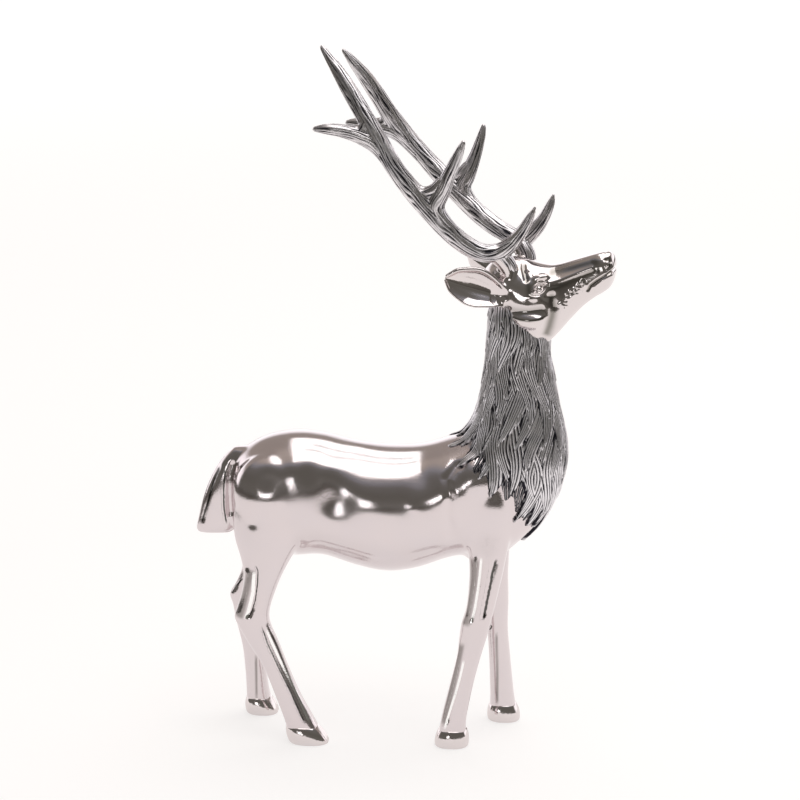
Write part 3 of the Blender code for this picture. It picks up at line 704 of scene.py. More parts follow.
def makeHooves():
    solid = bmesh.new()
    for name, (heel, toe, soleHalf) in hoofForm["soles"].items():
        side = -1 if name.startswith("right") else 1
        rows = smoothRows(legForms[name], 8)
        ankle = rows[np.argmin(np.abs(rows[:, 0] - hoofForm["height"]))]
        angle = np.linspace(0, 2 * math.pi, hoofForm["count"], endpoint=False)
        rings = []
        for t, proud in hoofForm["profile"]:
            grow = hoofForm["step"] * (1 - t) + proud
            back = ankle[1] * (1 - t) + heel * t
            front = ankle[2] * (1 - t) + toe * t
            half = ankle[4] * (1 - t) + soleHalf * t
            outline = oval((front - back) / 2 + grow, half + grow, 2.35, hoofForm["count"])
            notch = np.exp(-(np.sin(angle / 2) / 0.045) ** 2)
            cleft = hoofForm["cleftDepth"] * notch * softStep(0.05, 0.3, t)
            scale = 1 - cleft / ((front - back) / 2)
            z = hoofForm["height"] * (1 - t)
            rings.append([((back + front) / 2 + a * s, side * ankle[3] + b * s, z)
                          for (a, b), s in zip(outline, scale)])
        loftInto(solid, rings)
    bmesh.ops.recalc_face_normals(solid, faces=solid.faces)
    mesh = bpy.data.meshes.new("hooves")
    solid.to_mesh(mesh)
    solid.free()
    return mesh


settle("hooves", makeHooves(), [metals["hoofMetal"]])


# Mane: overlapping locks with combed strands

maneForm = {
    "around": 560,
    "levels": 280,
    "top": 362,
    "margin": 5,             # skin kept under the lowest tips
    "rows": 8,
    "columns": 12,
    "length": 64,
    "halfWidth": 11.2,
    "wave": 0.21,
    "hairTop": 358,
    "frontEnd": 170,
    "rise": 75,
    "seed": 11,
    "lockDepth": 2.1,
    "strandDepth": 0.95,
    "strandPitch": 2.5,
    "sink": 4.6,
}


def maneEnd(angle):
    return maneForm["frontEnd"] + maneForm["rise"] * ((1 - np.cos(angle)) / 2) ** 1.3


def makeLocks(seed, shift):
    spread = random.Random(seed)
    rows = maneForm["rows"]
    columns = maneForm["columns"]
    locks = []
    for row in range(rows):
        for column in range(columns):
            place = (column + shift + 0.5 * (row % 2) + spread.uniform(-0.16, 0.16)) / columns
            angle = (place * 2 - 1) * math.pi
            low = float(maneEnd(angle))
            step = (maneForm["hairTop"] - low) / rows
            tip = low + step * (rows - 1 - row + shift) + spread.uniform(-0.25, 0.25) * step
            phase = spread.uniform(-0.7, 0.7) + 2.1 * row
            length = maneForm["length"] * spread.uniform(0.85, 1.15)
            line = []
            for k in range(13):
                t = k / 12
                wave = maneForm["wave"] * (math.sin(phase + 3.6 * t) - math.sin(phase + 3.6))
                sweep = -0.10 * math.sin(angle) * (1 - t)
                line.append((angle + wave + sweep, tip + length * (1 - t)))
            locks.append(np.array(line))
    return locks


def layLocks(locks, lower, angles, z, girth, field):
    # each lock keeps what lies over its neighbours: height, strand ridge, nearness to the edge
    count = 2 * maneForm["halfWidth"] / maneForm["strandPitch"]
    for number, line in enumerate(locks):
        rootZ = line[0, 1]
        tipZ = line[-1, 1]
        centre = line[:, 0].mean()
        reach = 0.75 + np.ptp(line[:, 0]) / 2
        near = np.abs((angles - centre + math.pi) % (2 * math.pi) - math.pi) < reach
        columns = np.nonzero(near)[0]
        t = (rootZ - z[:, columns]) / (rootZ - tipZ)
        inside = (t > 0) & (t < 1)
        t = np.clip(t, 0, 1)
        middle = np.interp(t, np.linspace(0, 1, len(line)), line[:, 0])
        gap = (angles[columns][None, :] - middle + math.pi) % (2 * math.pi) - math.pi
        half = maneForm["halfWidth"] * np.minimum(0.45 + 0.9 * t, 1)
        half = half * np.minimum(1, (1.75 * (1 - t)) ** 0.8) + 1e-6
        across = gap * girth[:, columns] / half
        dome = np.sqrt(np.clip(1 - across ** 2, 0, 1))
        lift = 0.16 * math.sin(number * 2.4)
        height = 1.1 * t - 0.75 + 0.75 * dome + lift - lower
        spacing = 0.45 * half + 0.55 * maneForm["halfWidth"]
        phase = gap * girth[:, columns] / spacing * count / 2
        phase = phase + 0.25 * np.sin(8 * t + number) + 0.3 * np.sin(3 * across + number)
        ridge = np.abs(np.cos(math.pi * phase)) ** 0.9
        patch = np.ix_(np.arange(len(z)), columns)
        wins = inside & (np.abs(across) < 1) & (height > field["height"][patch])
        field["height"][patch] = np.where(wins, height, field["height"][patch])
        field["strand"][patch] = np.where(wins, ridge, field["strand"][patch])
        field["edge"][patch] = np.where(wins, dome, field["edge"][patch])


def makeMane():
    angles = np.linspace(-math.pi, math.pi, maneForm["around"], endpoint=False)
    lowest = maneEnd(angles)
    rise = np.linspace(0, 1, maneForm["levels"])[:, None]
    foot = lowest - maneForm["margin"]
    z = foot[None, :] + (maneForm["top"] - foot[None, :]) * rise
    neck = smoothRows(bodyForm["neck"], 9)
    back = np.interp(z, neck[:, 0], neck[:, 1])
    front = np.interp(z, neck[:, 0], neck[:, 2])
    half = np.interp(z, neck[:, 0], neck[:, 3])
    depth = (front - back) / 2
    middle = (front + back) / 2
    spokeX = depth * np.cos(angles)
    spokeY = -half * np.sin(angles)
    reach = np.hypot(spokeX, spokeY)
    spokeX /= reach
    spokeY /= reach
    skin = reach - 1.0
    for row in range(len(z)):
        for column in range(len(angles)):
            start = Vector((middle[row, column], 0, z[row, column]))
            way = Vector((spokeX[row, column], spokeY[row, column], 0))
            distance = bodyTree.ray_cast(start, way, 80)[3]
            if distance is not None:
                usual = reach[row, column]
                skin[row, column] = min(max(distance + 0.3, usual - 5), usual + 8)
    for _ in range(8):
        skin[1:-1] = (skin[:-2] + 2 * skin[1:-1] + skin[2:]) / 4
        skin = (np.roll(skin, 1, 1) + 2 * skin + np.roll(skin, -1, 1)) / 4
    girth = (depth + half) / 2
    field = {"height": np.full(z.shape, -1.6), "strand": np.zeros(z.shape), "edge": np.ones(z.shape)}
    # short hair under the locks
    sway = 0.16 * np.sin(z / 17 + 2 * np.sin(3 * angles)[None, :])
    under = np.abs(np.cos((angles[None, :] + sway) * 48)) ** 0.9
    covered = z > lowest[None, :] + 10 + 4 * np.sin(angles * 23)[None, :]
    field["height"] = np.where(covered, -0.95, field["height"])
    field["strand"] = np.where(covered, under, 0)
    layLocks(makeLocks(maneForm["seed"] + 6, 0.5), 0.35, angles, z, girth, field)
    layLocks(makeLocks(maneForm["seed"], 0), 0, angles, z, girth, field)
    bare = field["height"] < -1.5
    level = np.clip(field["height"] + 0.95, 0, 2) / 2
    ridge = field["strand"]
    lift = maneForm["lockDepth"] * level * 1.2 + maneForm["strandDepth"] * (ridge - 0.6)
    far = skin + np.where(bare, -maneForm["sink"], lift)
    shade = 0.1 + 0.9 * softStep(0.15, 0.85, field["edge"])
    carve = ridge ** 1.5 * shade * (0.35 + 0.65 * np.clip(level * 1.7, 0, 1))
    carve = np.where(bare, 0.0, carve)
    far[1:-1] = (far[:-2] + 2 * far[1:-1] + far[2:]) / 4
    carve[1:-1] = (carve[:-2] + 2 * carve[1:-1] + carve[2:]) / 4
    x = middle + spokeX * far
    y = spokeY * far
    for name, start in (("mane_left", 0), ("mane_right", maneForm["around"] // 2)):
        settle(name, maneHalf(name, start, x, y, z, carve), [metals["maneMetal"]])


def maneHalf(name, start, x, y, z, carve):
    # a closed half shell whose rims dip under the other half
    half = maneForm["around"] // 2
    columns = np.arange(start - 3, start + half + 4) % maneForm["around"]
    tuck = np.zeros(len(columns))
    tuck[[0, 1, -2, -1]] = (0.30, 0.12, 0.12, 0.30)
    middleX = (x.min(axis=1) + x.max(axis=1))[:, None] / 2
    outerX = middleX + (x[:, columns] - middleX) * (1 - tuck)
    outerY = y[:, columns]
    across = np.linspace(1, 0, 8)[1:-1]
    wallX = outerX[:, :1] + (outerX[:, -1:] - outerX[:, :1]) * across
    wallY = outerY[:, :1] + (outerY[:, -1:] - outerY[:, :1]) * across
    ringX = np.hstack([outerX, wallX])
    ringY = np.hstack([outerY, wallY])
    ringZ = np.hstack([z[:, columns], z[:, columns[:1]] + (z[:, columns[-1:]] - z[:, columns[:1]]) * across])
    solid = bmesh.new()
    loftInto(solid, np.stack([ringX, ringY, ringZ], 2))
    bmesh.ops.recalc_face_normals(solid, faces=solid.faces)
    mesh = bpy.data.meshes.new(name)
    solid.to_mesh(mesh)
    solid.free()
    walls = np.zeros((len(z), len(across)))
    writeAttribute(mesh, "carve", np.hstack([carve[:, columns], walls]).ravel())
    return mesh


makeMane()


# Head with face, ears and the smooth antler bases, made straight and then turned

headForm = {
    "voxel": 0.66,
    "softRounds": 22,
    "turn": math.radians(11),
    "pivot": 85,
    # by x: top, bottom, half width, roundness
    "skull": [
        (64, 376, 364, 6, 2.0), (67, 384, 359, 13, 2.0), (74, 390, 355, 19.5, 2.1),
        (84, 392.4, 350, 23, 2.2), (92, 392.2, 339, 24.6, 2.2), (100, 391, 328.5, 25, 2.2),
        (108, 389, 323, 24, 2.2),
        (117, 388, 327, 20.5, 2.3), (125, 389.5, 335, 17, 2.6), (134, 392.5, 346, 14.3, 2.8),
        (144, 395.8, 357, 12.4, 2.9), (153, 398.8, 364.5, 11.8, 2.8), (160, 400.5, 369, 11.8, 2.6),
        (165, 400, 373.5, 10.6, 2.4), (167.8, 395, 380, 6.5, 2.2),
    ],
    # x, distance from the middle plane, z, three radii, lean
    "lumps": [
        (111, 15.2, 380.2, 8.5, 3.6, 2.8, -14),   # brow
        (104, 16.0, 348.5, 15, 10.4, 10, 8),      # jaw muscle
        (105, 19.0, 365.5, 10, 5.6, 5, -4),       # cheek bone
        (87, 19.0, 362, 7, 5.5, 6, 0),            # root of the ear
        (163, 6.4, 391, 4.8, 5.0, 6.0, 0),        # nose pad
    ],
    # smooth stems that the antlers grow from: x, distance out, z, radius
    "bases": {
        -1: [(93, 12, 366, 10.5), (91, 14, 374, 8.6), (88.5, 16, 384, 6.9), (84, 18.5, 392, 6.8),
             (78, 21.5, 398.5, 6.6)],
        1: [(98, 11, 366, 10.5), (98, 13.5, 375, 8.6), (96.5, 15.5, 385, 6.9), (92, 18, 393, 6.8),
            (86, 21.5, 400.5, 6.6)],
    },
}

# the face seen from the side, as x and z
faceForm = {
    "eye": {"centre": (112.8, 372.6), "long": 5.6, "tall": 2.7, "tilt": math.radians(30), "ball": 2.3},
    "mouth": [(172, 389.6), (169.3, 388.6), (163, 384.2), (155.7, 379.4), (151, 375.4), (149.4, 371.8)],
    "lip": [(166, 383.8), (160, 379.6), (154.5, 374.6)],
    "nostril": [(162, 395.8), (164.6, 396.6), (166.2, 394.2), (165.8, 390.6), (163.6, 388.6)],
    "nosePad": [(160.2, 400.5), (160.6, 396), (161.6, 390), (164.4, 386.4)],
    "muzzleEdge": [(120, 376.8), (128.9, 379.6), (142.6, 385.6), (151.8, 389.2)],
    "aboveEdge": [(124, 384), (136, 387.6), (150, 393.4)],
    "belowEdge": [(124, 369), (134, 373), (146, 380.5), (155, 386)],
    "wrinkles": [(146.4, 377.6), (141, 373), (136.5, 368.2), (132, 362.3), (129.5, 358.5)],
    "cheekFold": [(88, 355.6), (96, 355), (106, 355), (115, 356.4)],
    "cheekEdge": [(93, 349.8), (100, 348.6), (107, 348.3), (113, 349.2), (117.5, 350.8)],
    "cheekFront": [(121.5, 366), (123.6, 358), (122.6, 350), (119, 338), (113, 324)],
    "jawFold": [(78, 366), (83, 352), (88, 341), (95, 332)],
    "crown": [(98, 390), (100, 385.5), (102.6, 379.5)],
    "muzzleTop": [(121, 384.5), (132, 387.6), (144, 391.2), (154.5, 394)],
    "muzzleSide": [(122, 372.5), (133, 376), (146, 382.5), (157, 388.5)],
    "cheekDark": [(122.5, 366), (124, 358), (123, 350), (121, 342), (118.8, 336)],
    "browPocket": [(98.5, 389), (100, 385), (102.6, 380.5), (105, 374.5), (106, 368.5)],
    # line, height, width, and from which x it also runs round the front
    "cuts": [
        ("mouth", -1.5, 0.8, 166), ("lip", 0.9, 2.0, 999), ("nostril", -1.5, 0.9, 999),
        ("nosePad", -0.35, 0.9, 158), ("muzzleEdge", 0.8, 1.9, 999), ("aboveEdge", -0.7, 3.2, 999),
        ("belowEdge", -0.2, 3.6, 999), ("cheekFold", -0.9, 3.4, 999), ("cheekEdge", 0.5, 1.8, 999),
        ("cheekFront", -1.9, 3.6, 999), ("jawFold", -1.3, 3.0, 999), ("crown", -1.6, 2.0, 999),
    ],
    # line, strength of the painted shade along it, width
    "paintedShades": [
        ("browPocket", 0.7, 2.2), ("muzzleSide", 0.7, 3.0), ("cheekDark", 0.85, 2.8),
        ("cheekFold", 0.45, 3.4), ("cheekEdge", 0.95, 0.8), ("mouth", 0.95, 1.0),
        ("nostril", 0.95, 0.9),
    ],
}

# root, tips, then rise, half width and cup depth along the ear
earForm = {
    "root": (89, 22, 362),
    "tips": {-1: (43.5, 39, 380.6), 1: (42, 39, 385.6)},
    "open": (0.12, 1, 0.08),
    "wall": 1.15,
    "rims": (1.75, 1.05),
    "shape": [(0, 6, 2), (1.5, 8.5, 4), (2, 11.5, 6.4), (2, 14, 7.8), (2, 14.6, 8), (1.6, 12.6, 6.6),
              (1.2, 9.4, 4.4), (0.8, 4.6, 2)],
}


def earInto(solid, side):
    root = Vector(earForm["root"])
    tip = Vector(earForm["tips"][side])
    axis = (tip - root).normalized()
    outward = Vector(earForm["open"])
    outward = (outward - axis * outward.dot(axis)).normalized()
    across = axis.cross(outward)
    rows = smoothRows(earForm["shape"], 8)
    rings = []
    rims = {-1: [], 1: []}
    for k, (rise, half, cup) in enumerate(rows):
        along = k / (len(rows) - 1)
        half *= math.sqrt(max(1 - (max(along - 0.86, 0) / 0.145) ** 2, 0.02))
        middle = root + (tip - root) * along + Vector((0, 0, rise))
        ring = []
        for face in (1, -1):
            for i in range(25):
                t = (i / 12 - 1) * face
                folds = 0.22 * math.cos(t * 13) * (1 - t * t) * math.sin(math.pi * along) if face > 0 else 0
                edge = middle + across * (half * t) + outward * (cup * (abs(t) ** 1.7 - 0.6))
                point = edge + outward * (face * earForm["wall"] + folds)
                ring.append((point.x, side * point.y, point.z))
        rings.append(ring)
        for t in (-1, 1):
            edge = middle + across * (half * t * 0.985) + outward * (cup * 0.4)
            rims[t].append((edge.x, side * edge.y, edge.z))
    loftInto(solid, rings)
    for t, thick in zip((-1, 1), earForm["rims"]):
        share = np.linspace(0, 1, len(rows))
        radius = thick * np.minimum(1, 0.55 + 2.2 * share) * np.where(share > 0.9, 1 - 2.2 * (share - 0.9), 1)
        tubeInto(solid, np.column_stack([np.array(rims[t]), radius]), 16)


def eyeRelief(flat):
    # lids as a raised almond round a ball
    eye = faceForm["eye"]
    shift = flat - np.array(eye["centre"])
    c = math.cos(eye["tilt"])
    s = math.sin(eye["tilt"])
    u = (c * shift[:, 0] + s * shift[:, 1]) / eye["long"]
    v = (-s * shift[:, 0] + c * shift[:, 1]) / eye["tall"]
    upper = v > 0
    rim = np.abs(v) + u ** 2                      # 1 on the outline of the almond
    away = np.hypot(u, v)
    lid = np.where(upper, 1.5, 0.95) * np.exp(-((rim - 1.12) / np.where(upper, 0.30, 0.26)) ** 2)
    lid *= np.exp(-np.clip(np.abs(u) - 1, 0, 9) ** 2 / 0.05)
    crease = -1.0 * np.exp(-((rim - 1.75) / 0.26) ** 2) * np.exp(-np.clip(away - 1.2, 0, 9) ** 2 / 0.5)
    socket = -1.5 * np.clip(1 - rim, 0, 1) ** 0.5
    distance = np.linalg.norm(shift, axis=1)
    ball = np.sqrt(np.clip(eye["ball"] ** 2 - distance ** 2, 0, 9)) * 0.95
    inner = distance < eye["ball"]
    return np.where(inner, ball - 1.1, lid + crease + socket)


def sculptFace(mesh):
    points = pointsOf(mesh)
    normals = normalsOf(mesh)
    x, y = points.T[:2]
    flat = points[:, (0, 2)]
    facing = softStep(0.1, 0.45, np.abs(normals[:, 1])) * (np.abs(y) > 1.5) * (x > 76)
    onFace = facing * (np.abs(y) < 27)

    def line(name, width):
        return np.exp(-(nearPath(flat, faceForm[name]) / width) ** 2)

    move = onFace * eyeRelief(flat) * (np.abs(y) > 10)
    for name, height, width, fromX in faceForm["cuts"]:
        move += height * line(name, width) * np.maximum(onFace, x > fromX)
    spread = random.Random(5)
    path = smoothRows([(a, b) for a, b in faceForm["wrinkles"]], 7)
    for k, (centreX, centreZ) in enumerate(path):
        side = (-1.8, 1.0, -0.2, 2.0)[k % 4] + spread.uniform(-0.6, 0.6)
        spot = np.array([centreX + 0.75 * side, centreZ - 0.7 * side])
        gap = np.linalg.norm(flat - spot, axis=1)
        wide = spread.uniform(0.7, 1.15)
        move += onFace * spread.uniform(0.4, 0.85) * np.exp(-(gap / wide) ** 2)
    movePoints(mesh, points + normals * move[:, None])
    relax(mesh, np.full(len(points), 0.5), 2)
    # painted shade and dark reflection along the muzzle top and the listed face lines
    paintedShade = 0.75 * line("muzzleTop", 3.1) * (normals[:, 2] < 0.93)
    for name, strength, width in faceForm["paintedShades"]:
        paintedShade = np.maximum(paintedShade, strength * line(name, width))
    writeAttribute(mesh, "paintedShade", paintedShade * onFace)


def turnHead(points):
    c = math.cos(-headForm["turn"])
    s = math.sin(-headForm["turn"])
    x = points[:, 0] - headForm["pivot"]
    y = points[:, 1]
    turned = points.copy()
    turned[:, 0] = headForm["pivot"] + c * x - s * y
    turned[:, 1] = s * x + c * y
    return turned


def stemPath(points, side):
    dense = smoothRows(points, 10)
    dense[:, 1] *= side
    return dense


def makeHead():
    solid = bmesh.new()
    rings = []
    for x, top, bottom, half, roundness in smoothRows(headForm["skull"], 8):
        yz = oval(half, (top - bottom) / 2, roundness, 72)
        rings.append([(x, y, (top + bottom) / 2 + z) for y, z in yz])
    loftInto(solid, rings)
    for x, out, z, deep, wide, tall, lean in headForm["lumps"]:
        for side in (-1, 1):
            ballInto(solid, (x, side * out, z), (deep, wide, tall), lean)
    for side in (-1, 1):
        tubeInto(solid, stemPath(headForm["bases"][side], side), 32)
        earInto(solid, side)
    mesh = fuse(solid, headForm["voxel"])
    points = pointsOf(mesh)
    ear = softStep(26, 29, np.abs(points[:, 1])) + softStep(80, 74, points[:, 0])
    stem = softStep(388, 394, points[:, 2]) * (np.abs(points[:, 1]) > 12)
    relax(mesh, 0.95 - 0.85 * np.clip(ear + 0.6 * stem, 0, 1), headForm["softRounds"])
    sculptFace(mesh)
    movePoints(mesh, turnHead(pointsOf(mesh)))
    return mesh


settle("head", makeHead(), [metals["headMetal"]])


# Antlers: fused stems with long grooves

antlerForm = {
    "voxel": 0.6,
    "softRounds": 14,
    "grooves": 19,
    "fewGrooves": 11,
    "grooveDepth": 0.9,
    "fluteDepth": 0.2,
    # brow tine running into the beam, middle tine, rear tine: x, distance out, z, radius
    "stems": {
        -1: [
            [(110, 23, 437.4, 1.0), (105.5, 22, 428, 3.4), (99, 21, 417, 4.8), (91, 20.5, 407, 6.1),
             (80, 22, 399.8, 7.1), (66, 26.5, 401, 7.4), (47, 33, 414.5, 7.6), (26, 38, 438, 8.0),
             (6, 40, 462, 7.2), (-12, 39, 490, 7.2), (-34, 34, 523, 6.2), (-48, 30, 542, 4.4),
             (-56, 27.8, 552, 2.4), (-58, 27.2, 554.6, 1.2)],
            [(52, 32.5, 413.5, 4.6), (41, 36, 425, 6.2), (35.5, 37.8, 436, 6.9), (41, 39, 449, 6.6),
             (50, 42.6, 468, 5.0), (55, 44, 479, 3.7), (58.4, 45, 487, 2.1), (59.2, 45.2, 489, 1.2)],
            [(17, 39.3, 448, 5.2), (2, 39.5, 467, 6.3), (-10, 39.6, 481, 7.0), (-23, 41.6, 488.4, 6.4),
             (-36, 44, 492, 5.4), (-48, 45.6, 493.2, 4.3), (-57, 46.6, 493, 2.4), (-59.4, 46.8, 493, 1.2)],
            [(14, 39.4, 453, 5.4), (24, 38.6, 446, 5.6), (33, 38.8, 448, 5.2), (41, 39.8, 456, 4.8)],
            [(-22, 37, 506, 5.2), (-19.5, 39.4, 497, 5.4), (-24, 41.2, 491.6, 5.2), (-34, 43.6, 492.4, 4.4)],
            [(80, 21, 399.5, 6.6), (84.5, 18.8, 394.5, 7.0), (87.6, 17, 389.5, 6.9),
             (89.4, 15.6, 383.5, 6.0)],
        ],
        1: [
            [(114.5, 23, 439.4, 1.0), (112, 22.5, 431, 3.4), (107.5, 22, 421, 4.8), (100, 21.5, 410.5, 6.1),
             (89, 22, 402.5, 7.1), (74, 26, 407, 7.4), (52, 33, 419, 7.6), (28, 38, 440, 8.0),
             (4, 40, 463.5, 7.2), (-18, 39, 489, 7.2), (-37, 34, 519, 6.2), (-48, 30, 534, 4.4),
             (-55, 28, 543, 2.4), (-57, 27.2, 545, 1.2)],
            [(55, 32.5, 417, 4.6), (44, 35.5, 428, 6.2), (38, 37.2, 438, 6.9), (42, 39, 448.5, 6.6),
             (47.5, 42.2, 464, 5.0), (51, 44, 477, 3.7), (52.9, 45, 486, 2.1), (53.3, 45.2, 488, 1.2)],
            [(15, 39.3, 450, 5.2), (0, 39.5, 466, 6.3), (-13, 39.6, 478, 7.0), (-26, 41.6, 482.2, 6.2),
             (-38, 44, 484, 5.2), (-50, 45.4, 484.6, 4.1), (-58, 46.2, 484.2, 2.4), (-60.4, 46.4, 484, 1.2)],
            [(16, 39.4, 453, 5.4), (27, 38.4, 446, 5.6), (35, 38.4, 447.6, 5.2), (42, 39.6, 455, 4.8)],
            [(-25, 37, 501, 5.2), (-22, 39.4, 493, 5.4), (-27, 41.2, 486, 5.2), (-36, 43.6, 484.6, 4.4)],
            [(88, 20.6, 402.5, 6.6), (92.4, 18.2, 396, 7.0), (95.4, 16.6, 390.5, 6.9),
             (97.2, 15, 384.5, 6.0)],
        ],
    },
}


def grooveAntler(mesh, paths):
    points = pointsOf(mesh)
    normals = normalsOf(mesh)
    nearest = np.full(len(points), 1e9)
    turn = np.zeros(len(points))
    length = np.zeros(len(points))
    girth = np.zeros(len(points))
    branch = np.zeros(len(points))
    for number, path in enumerate(paths):
        along = np.gradient(path[:, :3], axis=0)
        along /= np.linalg.norm(along, axis=1)[:, None]
        side = np.cross(along, (0, 1, 0))
        side /= np.linalg.norm(side, axis=1)[:, None]
        third = np.cross(along, side)
        run = np.concatenate([[0], np.cumsum(np.linalg.norm(np.diff(path[:, :3], axis=0), axis=1))])
        gaps = np.linalg.norm(points[:, None, :] - path[None, :, :3], axis=2)
        spot = np.argmin(gaps, axis=1)
        offset = points - path[spot, :3]
        radius = path[spot, 3]
        reach = gaps[np.arange(len(points)), spot] - radius
        wins = reach < nearest
        nearest = np.where(wins, reach, nearest)
        angle = np.arctan2(np.sum(offset * third[spot], 1), np.sum(offset * side[spot], 1))
        turn = np.where(wins, angle, turn)
        length = np.where(wins, run[spot] + np.sum(offset * along[spot], 1), length)
        girth = np.where(wins, radius, girth)
        branch = np.where(wins, number, branch)
    meander = 1.2 * np.sin(length / 19 + branch) + 0.9 * np.sin(length / 7.5 + 2 * np.sin(2 * turn + branch))
    meander += 0.5 * np.sin(length / 3.4 + 3 * np.sin(3 * turn))
    many = np.abs(np.sin(turn * antlerForm["grooves"] / 2 + meander)) ** 0.8
    few = np.abs(np.sin(turn * antlerForm["fewGrooves"] / 2 + meander * 0.7)) ** 0.8
    thick = softStep(4.2, 6.4, girth)
    ridge = few + (many - few) * thick
    swell = 0.62 + 0.38 * np.sin(length / 8 + 4 * np.sin(4 * turn + branch) + 2 * turn)
    depth = softStep(0.9, 3.0, girth) * swell
    flute = np.sin(3 * turn + 0.8 * np.sin(length / 23) + branch) * softStep(2.5, 6, girth)
    move = antlerForm["grooveDepth"] * depth * (ridge - 0.8) + antlerForm["fluteDepth"] * (flute - 0.6)
    movePoints(mesh, points + normals * move[:, None])
    carve = 1 - 1.35 * depth * (1 - ridge) - 0.10 * (1 - flute)
    writeAttribute(mesh, "carve", np.clip(carve, 0, 1))


def makeAntler(side):
    paths = [stemPath(points, side) for points in antlerForm["stems"][side]]
    solid = bmesh.new()
    for path in paths:
        tubeInto(solid, path, 28)
    mesh = fuse(solid, antlerForm["voxel"])
    relax(mesh, np.full(len(mesh.vertices), 0.85), antlerForm["softRounds"])
    grooveAntler(mesh, paths)
    movePoints(mesh, turnHead(pointsOf(mesh)))
    return mesh


settle("antler_right", makeAntler(-1), [metals["antlerMetal"]])
settle("antler_left", makeAntler(1), [metals["antlerMetal"]])


# Floor, light and camera

studio = {
    "azimuth": math.radians(4.0),
    "pitch": math.radians(14.6),
    "distance": 2030,          # from the stag's middle along the floor, in shares
    "height": 805,
    "lens": 120,
    "floorSize": 40,
    "paperReach": 1.6,         # metres of bright paper in front of the stag and beside it
    "paperFade": 0.16,
    "paperTone": (0.40, 0.39, 0.385),
    "boardTone": (0.15, 0.145, 0.125),
    "glow": (0.68, 0.88),      # strength near the stag and 4 m away
    "glowFrom": 0.6,
    "glowTo": 4.0,
    # tones by the sine of the height above the horizon
    "room": [(0.0, (0.15, 0.145, 0.13)), (0.35, (0.13, 0.125, 0.11)), (0.62, (0.16, 0.155, 0.145)),
             (0.74, (0.28, 0.285, 0.31)), (0.86, (0.44, 0.39, 0.35)), (1.0, (0.5, 0.45, 0.4))],
    "backdrop": [(0.0, (1.5, 1.47, 1.48)), (0.30, (1.3, 1.27, 1.3)), (0.46, (0.38, 0.34, 0.31)),
                 (1.0, (0.36, 0.32, 0.29))],
    # place, aim, size, radiance
    "panels": {
        "overhead": ((0.45, 0.2, 1.9), (0.45, 0.2, 0.2), (1.9, 2.7), 1.7),
        "lowPanel": ((-0.72, -2.5, 0.33), (0, 0, 0.2), (0.62, 0.46), 2.4),
    },
}


def makeFloor():
    bpy.ops.mesh.primitive_plane_add(size=studio["floorSize"], location=(0, 0, 0))
    floor = bpy.context.object
    floor.name = "floor"
    paper = bpy.data.materials.new("studioPaper")
    paper.use_nodes = True
    tree = paper.node_tree
    shader = tree.nodes["Principled BSDF"]
    shader.inputs["Roughness"].default_value = 0.9
    shader.inputs["Specular IOR Level"].default_value = 0.1
    shader.inputs["Emission Color"].default_value = (1, 0.985, 0.975, 1)
    place = addNode(tree, "ShaderNodeTexCoord")
    spot = addNode(tree, "ShaderNodeSeparateXYZ", {"Vector": place.outputs["Object"]})
    ahead = addNode(tree, "ShaderNodeMath", {0: spot.outputs["Y"]}, operation="MINIMUM")
    ahead.inputs[1].default_value = 0
    flat = addNode(tree, "ShaderNodeCombineXYZ", {"X": spot.outputs["X"], "Y": ahead.outputs[0]})
    reach = addNode(tree, "ShaderNodeVectorMath", {0: flat.outputs["Vector"]}, operation="LENGTH")
    grain = addNode(tree, "ShaderNodeTexNoise", {"Vector": place.outputs["Object"]}, Scale=3.0, Detail=4.0)
    ragged = addNode(tree, "ShaderNodeMath", {0: grain.outputs["Fac"], 1: reach.outputs["Value"]},
                     operation="MULTIPLY_ADD")
    tree.links.new(reach.outputs["Value"], ragged.inputs[2])
    ragged.inputs[1].default_value = 0.12
    room = addNode(tree, "ShaderNodeMapRange", {"Value": ragged.outputs[0]}, interpolation_type="SMOOTHSTEP")
    room.inputs["From Min"].default_value = studio["paperReach"]
    room.inputs["From Max"].default_value = studio["paperReach"] + studio["paperFade"]
    ray = addNode(tree, "ShaderNodeLightPath")
    bounced = addNode(tree, "ShaderNodeMath", {1: ray.outputs["Is Camera Ray"]}, operation="SUBTRACT")
    bounced.inputs[0].default_value = 1
    dim = addNode(tree, "ShaderNodeMath", {0: room.outputs["Result"], 1: bounced.outputs[0]},
                  operation="MULTIPLY")
    tone = addNode(tree, "ShaderNodeMix", {"Factor": dim.outputs[0]}, data_type="RGBA")
    tone.inputs["A"].default_value = (*studio["paperTone"], 1)
    tone.inputs["B"].default_value = (*studio["boardTone"], 1)
    tree.links.new(tone.outputs["Result"], shader.inputs["Base Color"])
    away = addNode(tree, "ShaderNodeVectorMath", {0: place.outputs["Object"]}, operation="LENGTH")
    glow = addNode(tree, "ShaderNodeMapRange", {"Value": away.outputs["Value"]})
    glow.inputs["From Min"].default_value = studio["glowFrom"]
    glow.inputs["From Max"].default_value = studio["glowTo"]
    glow.inputs["To Min"].default_value = studio["glow"][0]
    glow.inputs["To Max"].default_value = studio["glow"][1]
    lit = addNode(tree, "ShaderNodeMix", {"Factor": dim.outputs[0], "A": glow.outputs["Result"]})
    lit.inputs["B"].default_value = 0.02
    tree.links.new(lit.outputs["Result"], shader.inputs["Emission Strength"])
    floor.data.materials.append(paper)


def setRamp(ramp, stops):
    points = ramp.color_ramp.elements
    points[0].position, points[0].color = stops[0][0], (*stops[0][1], 1)
    points[1].position, points[1].color = stops[-1][0], (*stops[-1][1], 1)
    for where, tone in stops[1:-1]:
        point = points.new(where)
        point.color = (*tone, 1)


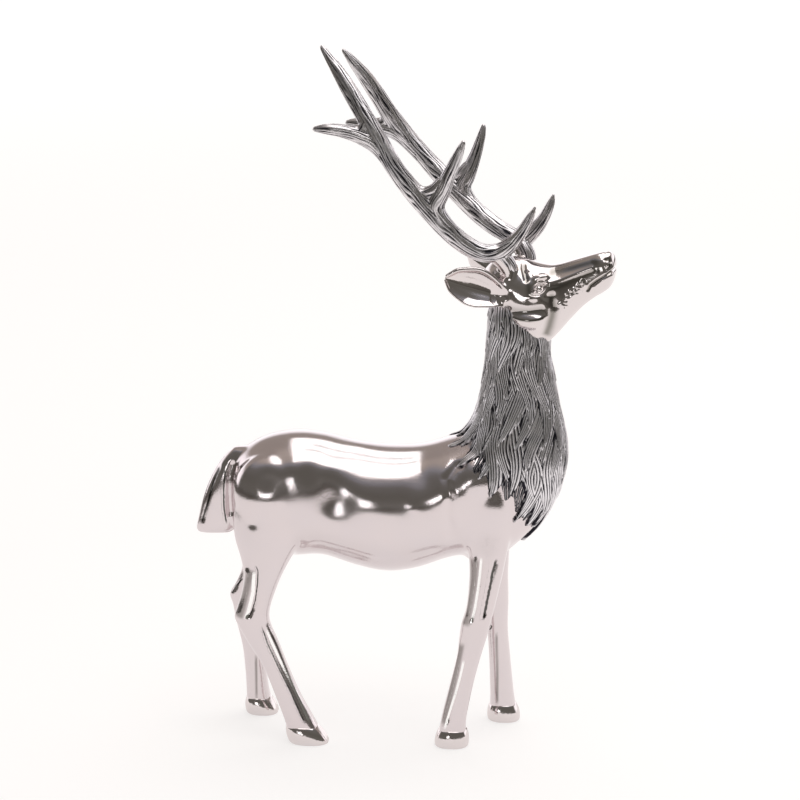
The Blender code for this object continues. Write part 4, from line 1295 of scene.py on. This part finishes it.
def makeWorld():
    # a dim room on the camera's side, white paper behind the stag
    world = bpy.data.worlds.new("studio")
    bpy.context.scene.world = world
    world.use_nodes = True
    tree = world.node_tree
    sky = tree.nodes["Background"]
    place = addNode(tree, "ShaderNodeTexCoord")
    parts = addNode(tree, "ShaderNodeSeparateXYZ", {"Vector": place.outputs["Generated"]})
    room = addNode(tree, "ShaderNodeValToRGB", {"Fac": parts.outputs["Z"]})
    setRamp(room, studio["room"])
    backdrop = addNode(tree, "ShaderNodeValToRGB", {"Fac": parts.outputs["Z"]})
    setRamp(backdrop, studio["backdrop"])
    behind = addNode(tree, "ShaderNodeMapRange", {"Value": parts.outputs["Y"]},
                     interpolation_type="SMOOTHSTEP")
    behind.inputs["From Min"].default_value = -0.05
    behind.inputs["From Max"].default_value = 0.25
    tone = addNode(tree, "ShaderNodeMix", {"Factor": behind.outputs["Result"]}, data_type="RGBA")
    tree.links.new(room.outputs["Color"], tone.inputs["A"])
    tree.links.new(backdrop.outputs["Color"], tone.inputs["B"])
    tree.links.new(tone.outputs["Result"], sky.inputs["Color"])


def addPanel(name, place, aim, size, radiance):
    light = bpy.data.lights.new(name, "AREA")
    light.shape = "RECTANGLE"
    light.size, light.size_y = size
    light.energy = radiance * math.pi * size[0] * size[1]
    panel = bpy.data.objects.new(name, light)
    panel.location = place
    panel.rotation_euler = (Vector(aim) - Vector(place)).to_track_quat("-Z", "Y").to_euler()
    bpy.context.scene.collection.objects.link(panel)


def makeCamera():
    lens = bpy.data.cameras.new("camera")
    lens.lens = studio["lens"]
    lens.sensor_width = 36
    lens.clip_end = 100
    camera = bpy.data.objects.new("camera", lens)
    a = studio["azimuth"]
    p = studio["pitch"]
    spot = Vector((math.sin(a) * studio["distance"], -math.cos(a) * studio["distance"], studio["height"]))
    camera.location = spot * share + tableOrigin
    look = Vector((-math.sin(a) * math.cos(p), math.cos(a) * math.cos(p), -math.sin(p)))
    camera.rotation_euler = look.to_track_quat("-Z", "Y").to_euler()
    bpy.context.scene.collection.objects.link(camera)
    bpy.context.scene.camera = camera


makeFloor()
makeWorld()
for name, values in studio["panels"].items():
    addPanel(name, *values)
makeCamera()
bpy.context.scene.view_settings.view_transform = "Standard"
print("studio ready")
